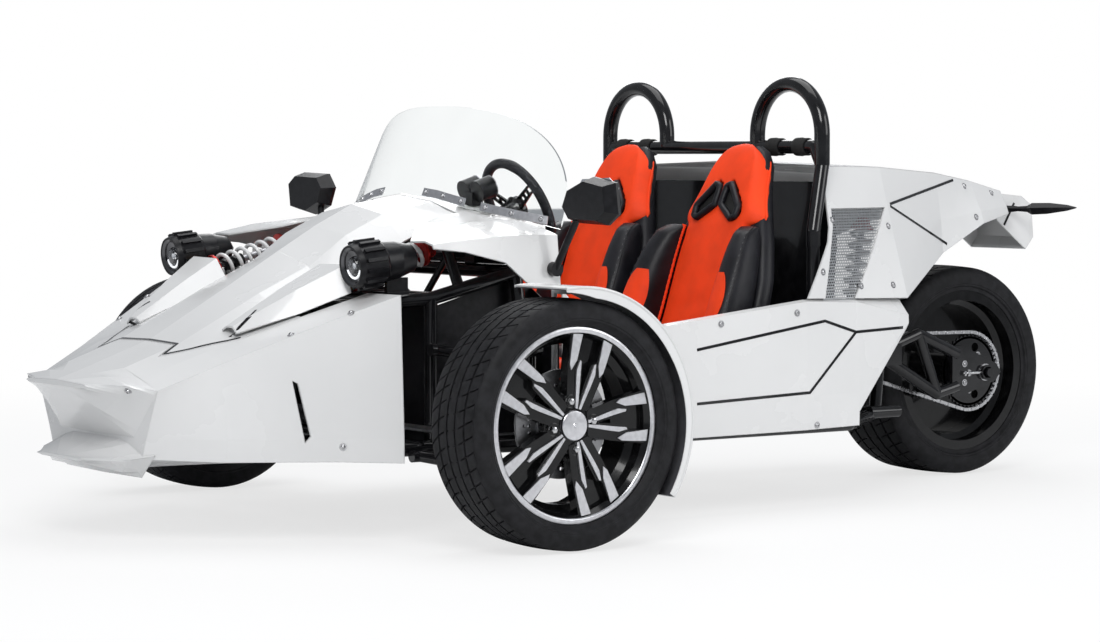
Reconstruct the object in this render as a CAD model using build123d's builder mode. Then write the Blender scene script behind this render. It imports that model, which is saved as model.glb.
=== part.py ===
"""Three wheeled open roadster: two steered front wheels, one chain driven rear wheel, two bucket seats.

Millimetres, +Z up. The nose points along -X and the left side of the car is -Y.
The origin is on the ground, in the middle of the overall length and width.
In the tables d is the distance behind the front axle, y the distance from the centre plane and z the height.
"""

import os
from math import cos, hypot, radians, sin, sqrt

from build123d import *

# Driving dimensions
NOSE_TO_AXLE = 880.0
WHEELBASE = 1967.0
TRACK = 1720.0

FRONT_TYRE_R = 298.0
FRONT_TYRE_W = 205.0
REAR_TYRE_R = 305.0
REAR_TYRE_W = 255.0
RIM_SEAT_R = 216.0
RIM_FLANGE_R = 233.0
RIM_WALL = 10.0
GROOVE_DEPTH = 6.0

KINGPIN_Y = 740.0
SPINDLE_R = 20.0
BEARING_GAP = 0.05
SEAT_GAP = 0.3
PANEL_WALL = 5.0
PANEL_SEAM = 3.0

FLOOR_Z = 196.0
TUBE_R = 19.0
TAIL_HALF = 118.0
BRACE_R = 14.0
FLOOR_SHEET = 3.0
SILL_Y = 565.0
SEAT_Y = 262.0
SEAT_HALF = 238.0
HOOP_Y = 342.0
HOOP_R = 137.0
HOOP_TUBE_R = 21.0
HOOP_TOP_Z = 1144.0

OVERALL_LENGTH = NOSE_TO_AXLE + WHEELBASE + REAR_TYRE_R
FRONT_AXLE = NOSE_TO_AXLE - OVERALL_LENGTH / 2
RAIL_Z = FLOOR_Z + TUBE_R
PAN_Z = RAIL_Z + TUBE_R

SIDES = {"left": -1, "right": 1}
MADE = {}

os.makedirs("parts", exist_ok=True)


# Helpers

def save(part, label):
    part.label = label
    export_step(part, f"parts/{label}.step")
    MADE[label] = part


def at(d, y, z, side=1):
    """The point that far behind the front axle, at y on that side, and at that height."""
    return (FRONT_AXLE + d, side * y, z)


def station(d):
    """The upright plane across the car at that distance behind the front axle."""
    return Plane.YZ.offset(FRONT_AXLE + d)


def profile_plane(y):
    """The upright plane along the car at y; its local axes are X and Z."""
    return Plane(origin=(0, y, 0), x_dir=(1, 0, 0), z_dir=(0, -1, 0))


def wheel_plane(x, y, z, side):
    """A plane facing outward on that side, with its local x along X."""
    return Plane(origin=(x, y, z), x_dir=(1, 0, 0), z_dir=(0, side, 0))


def inset(points, wall):
    """An open outline moved by wall to the right of its own direction, with mitred corners."""
    moved = []
    for i, (u, v) in enumerate(points):
        normals = []
        for a, b in ((i - 1, i), (i, i + 1)):
            if a >= 0 and b < len(points):
                du, dv = points[b][0] - points[a][0], points[b][1] - points[a][1]
                normals.append((dv / hypot(du, dv), -du / hypot(du, dv)))
        nu = sum(n[0] for n in normals)
        nv = sum(n[1] for n in normals)
        reach = wall * len(normals) / (nu * nu + nv * nv)
        moved.append((u + nu * reach, v + nv * reach))
    return moved


def rod(start, end, radius):
    """A straight round bar between two points, in the part that is being built."""
    a, b = Vector(*start), Vector(*end)
    with Locations(Plane(origin=a, z_dir=(b - a).normalized())):
        Cylinder(radius, (b - a).length, align=(Align.CENTER, Align.CENTER, Align.MIN))


def bent_rod(points, radius):
    """Round bars through the points, with a ball at each inner corner."""
    for a, b in zip(points, points[1:]):
        rod(a, b, radius)
    for corner in points[1:-1]:
        with Locations(corner):
            Sphere(radius)


def closed_loft(stations):
    """A solid through closed outlines (y, z) at stations d."""
    with BuildPart() as body:
        for d, points in stations:
            with BuildSketch(station(d)):
                with BuildLine():
                    Polyline(*points, close=True)
                make_face()
        loft(ruled=True)
    return body.part


def sheet_loft(stations, wall):
    """A panel through open outlines (y, z) at stations d, with its wall on the right of each outline."""
    return closed_loft([(d, points + inset(points, wall)[::-1]) for d, points in stations])


def turned(profile, x, y, z, side):
    """A ring about the Y axis through (x, y, z), from (outward offset, radius) points."""
    plane = Plane(origin=(x, y, z), x_dir=(0, side, 0), z_dir=(side, 0, 0))
    with BuildPart() as ring:
        with BuildSketch(plane):
            with BuildLine():
                Polyline(*profile, close=True)
            make_face()
        revolve(axis=Axis((x, y, z), (0, 1, 0)))
    return ring.part


# Tyres and rims

def tyre_profile(radius, width, rim_half, grooves):
    """Bead between the flanges, bulged sidewall, shoulder, and a tread with grooves round it."""
    half = width / 2
    tread = half - 20
    bead = rim_half - RIM_LIP - SEAT_GAP
    flange = RIM_FLANGE_R + SEAT_GAP
    left = [(-bead, RIM_SEAT_R + SEAT_GAP), (-bead, flange), (-rim_half - 2, flange), (-half, (flange + radius) / 2)]
    left += [(-half + 4, radius - 16), (-tread, radius)]
    outline = list(left)
    for i in range(grooves):
        middle = -tread + 2 * tread * (i + 0.5) / grooves
        outline += [(middle - 5, radius), (middle - 4, radius - GROOVE_DEPTH)]
        outline += [(middle + 4, radius - GROOVE_DEPTH), (middle + 5, radius)]
    return outline + [(-u, r) for u, r in reversed(left)]


def barrel_profile(half, lip):
    """Flanges, bead seats and dropped well of a rim, as a thin wall."""
    inner = RIM_SEAT_R - RIM_WALL
    drop = 16
    return [
        (-half, inner), (-half, RIM_FLANGE_R - 4), (-half + lip, RIM_FLANGE_R - 4), (-half + lip, RIM_SEAT_R),
        (-half + 40, RIM_SEAT_R), (-half + 52, RIM_SEAT_R - drop), (half - 52, RIM_SEAT_R - drop),
        (half - 40, RIM_SEAT_R), (half - lip, RIM_SEAT_R), (half - lip, RIM_FLANGE_R), (half, RIM_FLANGE_R),
        (half, inner), (half - 44, inner), (half - 56, inner - drop), (-half + 56, inner - drop),
        (-half + 44, inner),
    ]


RIM_LIP = 8.0
FRONT_RIM_HALF = 82.0
REAR_RIM_HALF = 116.0
HUB_R = 72.0
HUB_FACE = 38.0
SPOKE_BACK = 42.0
SPOKE_FACE = 74.0
SPOKES = 5
LUGS = 4
LUG_CIRCLE_R = 50.0

for name, side in SIDES.items():
    centre = (FRONT_AXLE, side * TRACK / 2, FRONT_TYRE_R)
    save(turned(tyre_profile(FRONT_TYRE_R, FRONT_TYRE_W, FRONT_RIM_HALF, 4), *centre, side), f"front_tyre_{name}")

    back_plane = wheel_plane(FRONT_AXLE, side * (TRACK / 2 + SPOKE_BACK), FRONT_TYRE_R, side)
    spoke_end = RIM_SEAT_R - RIM_WALL + 1
    with BuildPart() as rim:
        add(turned(barrel_profile(FRONT_RIM_HALF, RIM_LIP), *centre, side))
        with BuildSketch(back_plane):
            Circle(HUB_R)
            with PolarLocations(0, SPOKES, start_angle=90):
                for lean in (-1, 1):
                    with BuildLine():
                        Polyline((40, 0), (40, lean * 30), (130, lean * 38), (spoke_end, lean * 56),
                                 (spoke_end, lean * 26), (120, lean * 9), close=True)
                    make_face()
        extrude(amount=SPOKE_FACE - SPOKE_BACK)
        with BuildSketch(back_plane):
            Circle(HUB_R)
        extrude(amount=HUB_FACE - SPOKE_BACK)
        with BuildSketch(back_plane.offset(SPOKE_FACE - SPOKE_BACK)):
            with PolarLocations(LUG_CIRCLE_R, LUGS, start_angle=45):
                Circle(12)
        extrude(amount=-20, mode=Mode.SUBTRACT)
        with BuildSketch(back_plane.offset(HUB_FACE - SPOKE_BACK)):
            Circle(SPINDLE_R + BEARING_GAP)
        extrude(amount=SPOKE_FACE - HUB_FACE - 12, mode=Mode.SUBTRACT)
    save(rim.part, f"front_rim_{name}")

# Front brake discs, bolted behind the hub
DISC_R = 130.0
DISC_PLANE = 14.0
DISC_THICK = 8.0
for name, side in SIDES.items():
    disc_plane = wheel_plane(FRONT_AXLE, side * (TRACK / 2 + DISC_PLANE), FRONT_TYRE_R, side)
    with BuildPart() as disc:
        with BuildSketch(disc_plane):
            Circle(DISC_R)
            with PolarLocations(106, 16):
                Circle(5, mode=Mode.SUBTRACT)
        extrude(amount=DISC_THICK)
        with BuildSketch(disc_plane):
            Circle(HUB_R)
        extrude(amount=HUB_FACE - DISC_PLANE)
        with BuildSketch(disc_plane):
            Circle(SPINDLE_R + BEARING_GAP)
        extrude(amount=HUB_FACE - DISC_PLANE, mode=Mode.SUBTRACT)
    save(disc.part, f"front_disc_{name}")

# Rear wheel: a deep solid dish with the sprocket on the left and the brake disc on the right
AXLE_R = 12.0
REAR_HUB_R = 45.0
REAR_HUB_HALF = 90.0
REAR_AXLE = FRONT_AXLE + WHEELBASE
CHAIN_Y = 144.0
CHAIN_R = 113.0
CHAIN_HALF_HIGH = 7.0
CHAIN_HALF_WIDE = 8.0
CHAIN_GAP = 5.0
SPROCKET_THICK = 6.0
REAR_DISC_Y = 144.0
REAR_DISC_R = 112.0

rear_outline = tyre_profile(REAR_TYRE_R, REAR_TYRE_W, REAR_RIM_HALF, 4)
save(turned(rear_outline, REAR_AXLE, 0, REAR_TYRE_R, -1), "rear_tyre")

hub_plane = wheel_plane(REAR_AXLE, 0, REAR_TYRE_R, -1)
with BuildPart() as rear_rim:
    add(turned(barrel_profile(REAR_RIM_HALF, RIM_LIP), REAR_AXLE, 0, REAR_TYRE_R, -1))
    with BuildSketch(hub_plane):
        Circle(RIM_SEAT_R - RIM_WALL - 15)
    extrude(amount=5, both=True)
    with BuildSketch(hub_plane):
        Circle(REAR_HUB_R)
    extrude(amount=REAR_HUB_HALF, both=True)
    with BuildSketch(hub_plane):
        Circle(AXLE_R + BEARING_GAP)
    extrude(amount=REAR_HUB_HALF, both=True, mode=Mode.SUBTRACT)
save(rear_rim.part, "rear_rim")

HUB_PIECES = [
    # label, outer face y, radius, thickness, number, circle and radius of its holes, side
    ("sprocket", CHAIN_Y + SPROCKET_THICK / 2, CHAIN_R - CHAIN_HALF_HIGH - CHAIN_GAP, SPROCKET_THICK, 5, 72, 13, -1),
    ("rear_disc", REAR_DISC_Y + SPROCKET_THICK / 2, REAR_DISC_R, SPROCKET_THICK, 16, 92, 5, 1),
]
for label, face_y, radius, thick, holes, hole_circle, hole_r, side in HUB_PIECES:
    face = wheel_plane(REAR_AXLE, side * face_y, REAR_TYRE_R, side)
    with BuildPart() as hub_piece:
        with BuildSketch(face):
            Circle(radius)
            with PolarLocations(hole_circle, holes):
                Circle(hole_r, mode=Mode.SUBTRACT)
        extrude(amount=-thick)
        with BuildSketch(face):
            Circle(REAR_HUB_R)
        extrude(amount=-(face_y - REAR_HUB_HALF))
        with BuildSketch(face):
            Circle(AXLE_R + BEARING_GAP)
        extrude(amount=-(face_y - REAR_HUB_HALF), mode=Mode.SUBTRACT)
    save(hub_piece.part, label)

# Front uprights on upright kingpin axes, with steering arm and brake calliper
UPPER_JOINT_Z = 418.0
LOWER_JOINT_Z = 180.0
UPRIGHT_R = 15.0
STEER_ARM = 120.0
ARM_Z = 252.0
ARM_THICK = 12.0
STUB_R = 36.0
CALLIPER_D = DISC_R - 14
CALLIPER_WIDE = 32.0
PAD_GAP = 3.0
BALL_GAP = 2.0

for name, side in SIDES.items():
    disc_y = side * (TRACK / 2 + DISC_PLANE + DISC_THICK / 2)
    stub_end = side * (TRACK / 2 + DISC_PLANE - 6)
    with BuildPart() as knuckle:
        rod(at(0, KINGPIN_Y, LOWER_JOINT_Z, side), at(0, KINGPIN_Y, UPPER_JOINT_Z, side), UPRIGHT_R)
        rod(at(0, KINGPIN_Y, FRONT_TYRE_R, side), (FRONT_AXLE, stub_end, FRONT_TYRE_R), STUB_R)
        rod((FRONT_AXLE, stub_end, FRONT_TYRE_R),
            (FRONT_AXLE, side * (TRACK / 2 + SPOKE_FACE - 14), FRONT_TYRE_R), SPINDLE_R)
        with BuildSketch(Plane.XY.offset(ARM_Z - ARM_THICK)):
            with Locations((FRONT_AXLE - STEER_ARM / 2, side * KINGPIN_Y)):
                SlotCenterToCenter(STEER_ARM, 26)
        extrude(amount=ARM_THICK)
        with Locations((FRONT_AXLE + CALLIPER_D, disc_y, FRONT_TYRE_R)):
            Box(58, CALLIPER_WIDE, 84)
            Box(120, DISC_THICK + 2 * PAD_GAP, 120, mode=Mode.SUBTRACT)
        with Locations((FRONT_AXLE + CALLIPER_D + 24, disc_y, FRONT_TYRE_R)):
            Box(10, CALLIPER_WIDE, 84)
        with Locations((FRONT_AXLE + CALLIPER_D / 2 + 8, disc_y - side * CALLIPER_WIDE / 2, FRONT_TYRE_R)):
            Box(CALLIPER_D, 10, 56)
        rod((FRONT_AXLE, stub_end, FRONT_TYRE_R),
            (FRONT_AXLE, side * (TRACK / 2 + SPOKE_FACE - 14), FRONT_TYRE_R), SPINDLE_R)
    save(knuckle.part, f"front_knuckle_{name}")

# Cycle type front mudguards that turn with the wheels, each on a stay from the upright
FENDER_R = FRONT_TYRE_R + 26.0
FENDER_HALF = 107.0
FENDER_WALL = 4.0
FENDER_START = 98.0
FENDER_END = -34.0
STAY_R = 7.0
STAY_D = 80.0
STAY_TOP = FRONT_TYRE_R + sqrt(FENDER_R ** 2 - STAY_D ** 2) - STAY_R + 0.5
FENDER_STAY = [
    # d, y, z
    (0, KINGPIN_Y - 2, 350),
    (STAY_D, KINGPIN_Y - 2, 400),
    (STAY_D, KINGPIN_Y - 2, STAY_TOP),
    (STAY_D, KINGPIN_Y + 60, STAY_TOP),
]
for name, side in SIDES.items():
    inner_face = Plane(origin=(FRONT_AXLE, TRACK / 2 + FENDER_HALF if side > 0 else -(TRACK / 2 - FENDER_HALF),
                               FRONT_TYRE_R), x_dir=(1, 0, 0), z_dir=(0, -1, 0))
    angles = [FENDER_END, (FENDER_START + FENDER_END) / 2, FENDER_START]
    inner = [(FENDER_R * cos(radians(a)), FENDER_R * sin(radians(a))) for a in angles]
    outer_r = FENDER_R + FENDER_WALL
    outer = [(outer_r * cos(radians(a)), outer_r * sin(radians(a))) for a in reversed(angles)]
    with BuildPart() as fender:
        with BuildSketch(inner_face):
            with BuildLine():
                ThreePointArc(*inner)
                Line(inner[2], outer[0])
                ThreePointArc(*outer)
                Line(outer[2], inner[0])
            make_face()
        extrude(amount=2 * FENDER_HALF)
        bent_rod([at(d, y, z, side) for d, y, z in FENDER_STAY], STAY_R)
        add(MADE[f"front_knuckle_{name}"], mode=Mode.SUBTRACT)
    save(fender.part, f"front_fender_{name}")

# Rack bar with its tie rods: one sliding piece whose outer eyes lie on the steering arms
RACK_Z = ARM_Z + BALL_GAP + 9.0
RACK_R = 11.0
RACK_END_Y = 330.0
TIE_R = 8.0
HOUSING_Y = 240.0
HOUSING_R = 22.0
RACK_D = -STEER_ARM
with BuildPart() as rack:
    rod(at(RACK_D, -RACK_END_Y, RACK_Z), at(RACK_D, RACK_END_Y, RACK_Z), RACK_R)
    for side in SIDES.values():
        with Locations(at(RACK_D, RACK_END_Y, RACK_Z, side)):
            Sphere(17)
        rod(at(RACK_D, RACK_END_Y, RACK_Z, side), at(RACK_D, KINGPIN_Y, RACK_Z, side), TIE_R)
        rod(at(RACK_D, KINGPIN_Y, ARM_Z + BALL_GAP, side), at(RACK_D, KINGPIN_Y, RACK_Z + 9, side), 13)
save(rack.part, "steering_rack_and_tie_rods")

with BuildPart() as rack_housing:
    rod(at(RACK_D, -HOUSING_Y, RACK_Z), at(RACK_D, HOUSING_Y, RACK_Z), HOUSING_R)
    for side in SIDES.values():
        with Locations(at(RACK_D, HOUSING_Y / 2, (RACK_Z + PAN_Z) / 2, side)):
            Box(34, 40, RACK_Z - PAN_Z)
    with Locations(Plane(origin=at(RACK_D, -HOUSING_Y, RACK_Z), z_dir=(0, 1, 0))):
        Cylinder(RACK_R + SEAT_GAP, 2 * HOUSING_Y, align=(Align.CENTER, Align.CENTER, Align.MIN),
                 mode=Mode.SUBTRACT)
save(rack_housing.part, "steering_rack_housing")

# Chassis of round tube, in three welded groups
FLOOR_TUBES = [
    # start (d, y, z), end (d, y, z), radius
    ((-240, 440, RAIL_Z), (180, 520, RAIL_Z), TUBE_R),
    ((180, 520, RAIL_Z), (1190, 520, RAIL_Z), TUBE_R),
    ((1190, 520, RAIL_Z), (1480, 300, RAIL_Z), TUBE_R),
    ((-620, 170, RAIL_Z), (-240, 170, RAIL_Z), TUBE_R),
    ((-240, 170, RAIL_Z), (1190, 170, RAIL_Z), TUBE_R),
]
FLOOR_CROSS_TUBES = [(-620, 170), (-240, 440), (RACK_D, 460), (180, 520), (640, 520), (1190, 520), (1480, 300)]
with BuildPart() as floor_frame:
    for side in SIDES.values():
        for start, end, radius in FLOOR_TUBES:
            rod(at(*start, side), at(*end, side), radius)
        for d, y in FLOOR_CROSS_TUBES:
            with Locations(at(d, y, RAIL_Z, side)):
                Sphere(TUBE_R)
    for d, y in FLOOR_CROSS_TUBES:
        rod(at(d, -y, RAIL_Z), at(d, y, RAIL_Z), TUBE_R)
save(floor_frame.part, "floor_frame")

POST_R = TUBE_R - 2.0
POST_D = -82.0
POST_Y = 440.0
POST_TOP_Z = 579.0
DASH_D = 163.0
DASH_Z = 640.0
TOWER_D = -330.0
TOWER_Z = 560.0
FRONT_TUBES = [
    # start (d, y, z), end (d, y, z), radius
    ((POST_D, POST_Y, RAIL_Z), (POST_D, POST_Y, POST_TOP_Z), POST_R),
    ((POST_D, POST_Y, POST_TOP_Z), (DASH_D, 450, DASH_Z), POST_R),
    ((POST_D, POST_Y, POST_TOP_Z), (TOWER_D, 350, TOWER_Z), POST_R),
    ((TOWER_D, 350, TOWER_Z), (-240, 430, RAIL_Z), POST_R),
    ((TOWER_D, 300, TOWER_Z), (-612, 170, RAIL_Z), BRACE_R),
    ((DASH_D, 450, DASH_Z), (176, 515, RAIL_Z), POST_R),
    ((POST_D, POST_Y, 300), (170, 480, 440), BRACE_R),
    ((0, 444, 600), (0, 384, 704), BRACE_R),
    ((0, 392, 704), (0, 364.3, 704), 9),
    ((TOWER_D, 326, 566), (-322, 326, 614), 9),
    ((-322, 326, 614), (-322, 335.7, 614), 9),
]
FRONT_CORNERS = [(POST_D, POST_Y, POST_TOP_Z), (DASH_D, 450, DASH_Z), (TOWER_D, 350, TOWER_Z)]
with BuildPart() as front_frame:
    for side in SIDES.values():
        for start, end, radius in FRONT_TUBES:
            rod(at(*start, side), at(*end, side), radius)
        for corner in FRONT_CORNERS:
            with Locations(at(*corner, side)):
                Sphere(POST_R)
    for d, y, z in FRONT_CORNERS:
        rod(at(d, -y, z), at(d, y, z), POST_R)
    add(floor_frame.part, mode=Mode.SUBTRACT)
save(front_frame.part, "front_frame")

PIVOT_D = 1560.0
PIVOT_Y = 284.0
PIVOT_Z = 375.0
TAIL_RAIL_Z = 800.0
TAIL_D = 2112.0
TAIL_Y = TAIL_HALF - PANEL_WALL - POST_R - 8.0
TAIL_INSIDE_Y = TAIL_HALF - PANEL_WALL - SEAT_GAP
REAR_POST_D = 1085.0
REAR_POST_Y = 498.0
REAR_POST_TOP = 690.0
REAR_TUBES = [
    # start (d, y, z), end (d, y, z), radius
    ((REAR_POST_D, REAR_POST_Y, RAIL_Z), (REAR_POST_D, REAR_POST_Y, REAR_POST_TOP), POST_R),
    ((1190, 360, RAIL_Z), (1240, 330, TAIL_RAIL_Z), POST_R),
    ((1240, 330, TAIL_RAIL_Z), (1700, 235, TAIL_RAIL_Z), POST_R),
    ((1700, 235, TAIL_RAIL_Z), (TAIL_D, TAIL_Y, 780), POST_R),
    ((1478, 296, RAIL_Z), (1560, 266, TAIL_RAIL_Z), POST_R),
    ((REAR_POST_D, REAR_POST_Y, 520), (1210, 345, 520), BRACE_R),
    ((1395, 368, 225), (1500, 368, 225), POST_R),
]
REAR_CORNERS = [(1240, 330, TAIL_RAIL_Z), (1700, 235, TAIL_RAIL_Z), (TAIL_D, TAIL_Y, 780)]
with BuildPart() as rear_frame:
    for side in SIDES.values():
        for start, end, radius in REAR_TUBES:
            rod(at(*start, side), at(*end, side), radius)
        for corner in REAR_CORNERS:
            with Locations(at(*corner, side)):
                Sphere(POST_R)
        with Locations(at(PIVOT_D - 28, PIVOT_Y + 4, PIVOT_Z, side)):
            Box(96, 8, 60)
    for d, y, z in REAR_CORNERS:
        rod(at(d, -y, z), at(d, y, z), BRACE_R)
    rod(at(1515, -280, 480), at(1515, 280, 480), BRACE_R)
    rod(at(TAIL_D, -TAIL_INSIDE_Y, 780), at(TAIL_D, TAIL_INSIDE_Y, 780), BRACE_R)
    add(floor_frame.part, mode=Mode.SUBTRACT)
save(rear_frame.part, "rear_frame")

# Floor sheet with a toe board, on the rails
TOE_D = -58.0
PAN_OUTLINE = [(TOE_D, 405), (180, 478), (1160, 478)]
with BuildPart() as floor_pan:
    with BuildSketch(Plane.XY.offset(PAN_Z)):
        with BuildLine():
            Polyline(*[at(d, -y, 0)[:2] for d, y in PAN_OUTLINE],
                     *[at(d, y, 0)[:2] for d, y in reversed(PAN_OUTLINE)], close=True)
        make_face()
    extrude(amount=FLOOR_SHEET)
    with BuildSketch(station(TOE_D)):
        with Locations((0, (PAN_Z + 540) / 2)):
            Rectangle(810, 540 - PAN_Z)
    extrude(amount=FLOOR_SHEET)

# Wishbones from bushes beside the chassis tubes to the kingpin ball joints
BUSH_R = 15.0
WISHBONES = [
    # eye height, bush (d, y, z)
    (UPPER_JOINT_Z + BALL_GAP + UPRIGHT_R, [(POST_D, POST_Y + POST_R + BUSH_R + SEAT_GAP, 455), (170, 515, 450)]),
    (LOWER_JOINT_Z - BALL_GAP - UPRIGHT_R, [(-150, 493, 200), (172, 553, 200)]),
]
with BuildPart() as wishbones:
    for side in SIDES.values():
        for eye_z, bushes in WISHBONES:
            rod(at(0, KINGPIN_Y, eye_z - UPRIGHT_R, side), at(0, KINGPIN_Y, eye_z + UPRIGHT_R, side), 20)
            for d, y, z in bushes:
                rod(at(0, KINGPIN_Y, eye_z, side), at(d, y, z, side), BRACE_R)
                rod(at(d - 22, y, z, side), at(d + 22, y, z, side), BUSH_R)
save(wishbones.part, "front_wishbones")

# Coil springs over dampers, lying inboard between a bracket on the chassis and a rocker with its pushrod
COIL_R = 31.0
COIL_WIRE_R = 6.0
COIL_TURNS = 6
DAMPER_R = 17.0
COILOVER_FRONT = (-322, 350, TOWER_Z + 54)
COILOVER_REAR = (0, 350, 704)
with BuildPart() as coilovers:
    for side in SIDES.values():
        a, b = Vector(*at(*COILOVER_FRONT, side)), Vector(*at(*COILOVER_REAR, side))
        along = (b - a).normalized()
        rod(a, b, DAMPER_R - 6)
        rod(a + along * 30, a + along * 150, DAMPER_R)
        rod(a + along * 58, a + along * 76, COIL_R + 4)
        rod(b - along * 66, b - along * 52, COIL_R + 2)
        spring_start = a + along * 76
        spring_length = (b - along * 66 - spring_start).length
        pitch = spring_length / COIL_TURNS
        for turn in range(COIL_TURNS):
            with Locations(Plane(origin=spring_start + along * (pitch * (turn + 0.5)), z_dir=along)):
                Cylinder(COIL_R, COIL_WIRE_R * 2)
        for end in (a, b):
            rod(end - Vector(0, 14, 0), end + Vector(0, 14, 0), 15)
save(coilovers.part, "front_coilovers")

# Nose: one hollow moulding from the beak and lip back to the front wheels, split along the bonnet's edge
NOSE_BEAK = [
    # d, half outline (y, z) from the top centre round to the bottom centre
    (-880, [(0, 388), (150, 384), (165, 379), (150, 374), (0, 374)]),
    (-825, [(0, 405), (150, 401), (278, 384), (150, 316), (0, 314)]),
    (-772, [(0, 424), (150, 420), (322, 374), (200, 256), (0, 252)]),
]
NOSE_LIP = [
    (-870, [(0, 204), (100, 204), (130, 200), (100, 196), (0, 196)]),
    (-800, [(0, 232), (140, 230), (235, 205), (190, 172), (0, 170)]),
    (-752, [(0, 262), (150, 260), (270, 215), (200, 157), (0, 155)]),
]
NOSE_BODY = [
    (-772, [(0, 424), (150, 420), (235, 398), (322, 374), (262, 255), (240, 205), (0, 160)]),
    (-622, [(0, 478), (150, 474), (280, 458), (384, 440), (390, 255), (378, 200), (0, 160)]),
    (-400, [(0, 606), (150, 590), (260, 548), (503, 538), (515, 255), (510, 200), (0, 170)]),
    (-259, [(0, 689), (150, 656), (256, 596), (586, 598), (600, 255), (600, 196), (0, 185)]),
]
NOSE_WALL = 6.0


def both_halves(half):
    """A half outline from the top centre to the bottom centre, closed round the other side."""
    return half + [(-y, z) for y, z in reversed(half) if y != 0]


def nose_inside(points):
    """The half outline moved inside the wall."""
    (y0, z0), *middle, (yn, zn) = points
    moved = inset([(-20, z0), (y0, z0)] + middle + [(yn, zn), (-20, zn)], NOSE_WALL)
    return [(0, moved[1][1])] + moved[2:-2] + [(0, moved[-2][1])]


with BuildPart() as nose_solid:
    for table in (NOSE_BEAK, NOSE_LIP, NOSE_BODY):
        add(closed_loft([(d, both_halves(half)) for d, half in table]))
with BuildPart() as nose_hollow:
    inner_rows = [(d + NOSE_WALL * (i == 0) + 1.0 * (i == 3), nose_inside(half))
                  for i, (d, half) in enumerate(NOSE_BODY)]
    add(closed_loft([(d, both_halves(half)) for d, half in inner_rows]))

# The bonnet's edge seen from above, which is also the black line round it: (d, y) from the front centre
BONNET_EDGE = [(-631, 0), (-631, 145), (-686, 172), (-536, 300), (-259, 430), (-190, 462)]
SPINE = [
    # d, half outline (y, z) of the centre ridge from its lower edge to the middle
    (-259, [(252, 610), (150, 652), (0, 689)]),
    (-150, [(252, 662), (150, 730), (0, 752)]),
    (-40, [(252, 716), (150, 782), (0, 806)]),
    (108, [(252, 782), (150, 812), (0, 828)]),
]
HUMP = [
    # d, outline (y, z) of the fairing ahead of each coilover, from its inner to its outer foot
    (-540, [(215, 508), (238, 518), (268, 518), (288, 502)]),
    (-400, [(205, 566), (250, 604), (336, 606), (360, 550)]),
    (-292, [(208, 612), (262, 664), (386, 666), (413, 598)]),
]


def bonnet_prism(grow):
    """An upright prism over the bonnet's plan, larger by grow all round."""
    half = inset(BONNET_EDGE, -grow)
    outline = [at(d, y, 0)[:2] for d, y in half] + [at(d, -y, 0)[:2] for d, y in half[:0:-1]]
    with BuildPart() as prism:
        with BuildSketch(Plane.XY.offset(430)):
            with BuildLine():
                Polyline(*outline, close=True)
            make_face()
        extrude(amount=500)
    return prism.part


with BuildPart() as nose_shell:
    add(nose_solid.part)
    add(nose_hollow.part, mode=Mode.SUBTRACT)
    add(bonnet_prism(PANEL_SEAM), mode=Mode.SUBTRACT)
    for side in SIDES.values():
        with BuildSketch(profile_plane(side * 620)):
            with BuildLine():
                Polyline(at(-486, 0, 0)[:1] + (395,), at(-474, 0, 0)[:1] + (388,),
                         at(-450, 0, 0)[:1] + (262,), at(-462, 0, 0)[:1] + (246,), close=True)
            make_face()
        extrude(amount=side * 300, mode=Mode.SUBTRACT)
save(nose_shell.part, "nose_shell")

with BuildPart() as bonnet:
    add(nose_solid.part)
    add(nose_hollow.part, mode=Mode.SUBTRACT)
    add(bonnet_prism(0), mode=Mode.INTERSECT)
    for side in SIDES.values():
        with Locations(at(-290, 346, 580, side)):
            Box(230, 248, 300, mode=Mode.SUBTRACT)
    add(sheet_loft([(d, [(-y, z) for y, z in half] + [(y, z) for y, z in reversed(half) if y != 0])
                    for d, half in SPINE], PANEL_WALL))
    for side in SIDES.values():
        add(sheet_loft([(d, [(side * y, z) for y, z in points][::side]) for d, points in HUMP], PANEL_WALL))
save(bonnet.part, "bonnet")

# Shoulders over the front suspension, joined by the scuttle behind the bonnet
SHOULDER = [
    # d, outline (y, z) from the inner edge out and down
    (-150, [(455, 722), (520, 724), (556, 716), (562, 706)]),
    (-60, [(330, 745), (480, 747), (554, 724), (562, 696)]),
    (58, [(256, 776), (400, 764), (552, 733), (562, 668)]),
    (139, [(256, 790), (400, 768), (552, 735), (562, 604)]),
    (224, [(256, 790), (400, 770), (545, 734), (560, 606)]),
]
SCUTTLE = [
    (112, [(260, 786), (150, 812), (0, 828)]),
    (224, [(260, 788), (150, 812), (0, 824)]),
]
with BuildPart() as cowl:
    for side in SIDES.values():
        add(sheet_loft([(d, [(side * y, z) for y, z in points][::side]) for d, points in SHOULDER], PANEL_WALL))
    add(sheet_loft([(d, [(-y, z) for y, z in half] + [(y, z) for y, z in reversed(half) if y != 0])
                    for d, half in SCUTTLE], PANEL_WALL))
save(cowl.part, "cowl")

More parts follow.
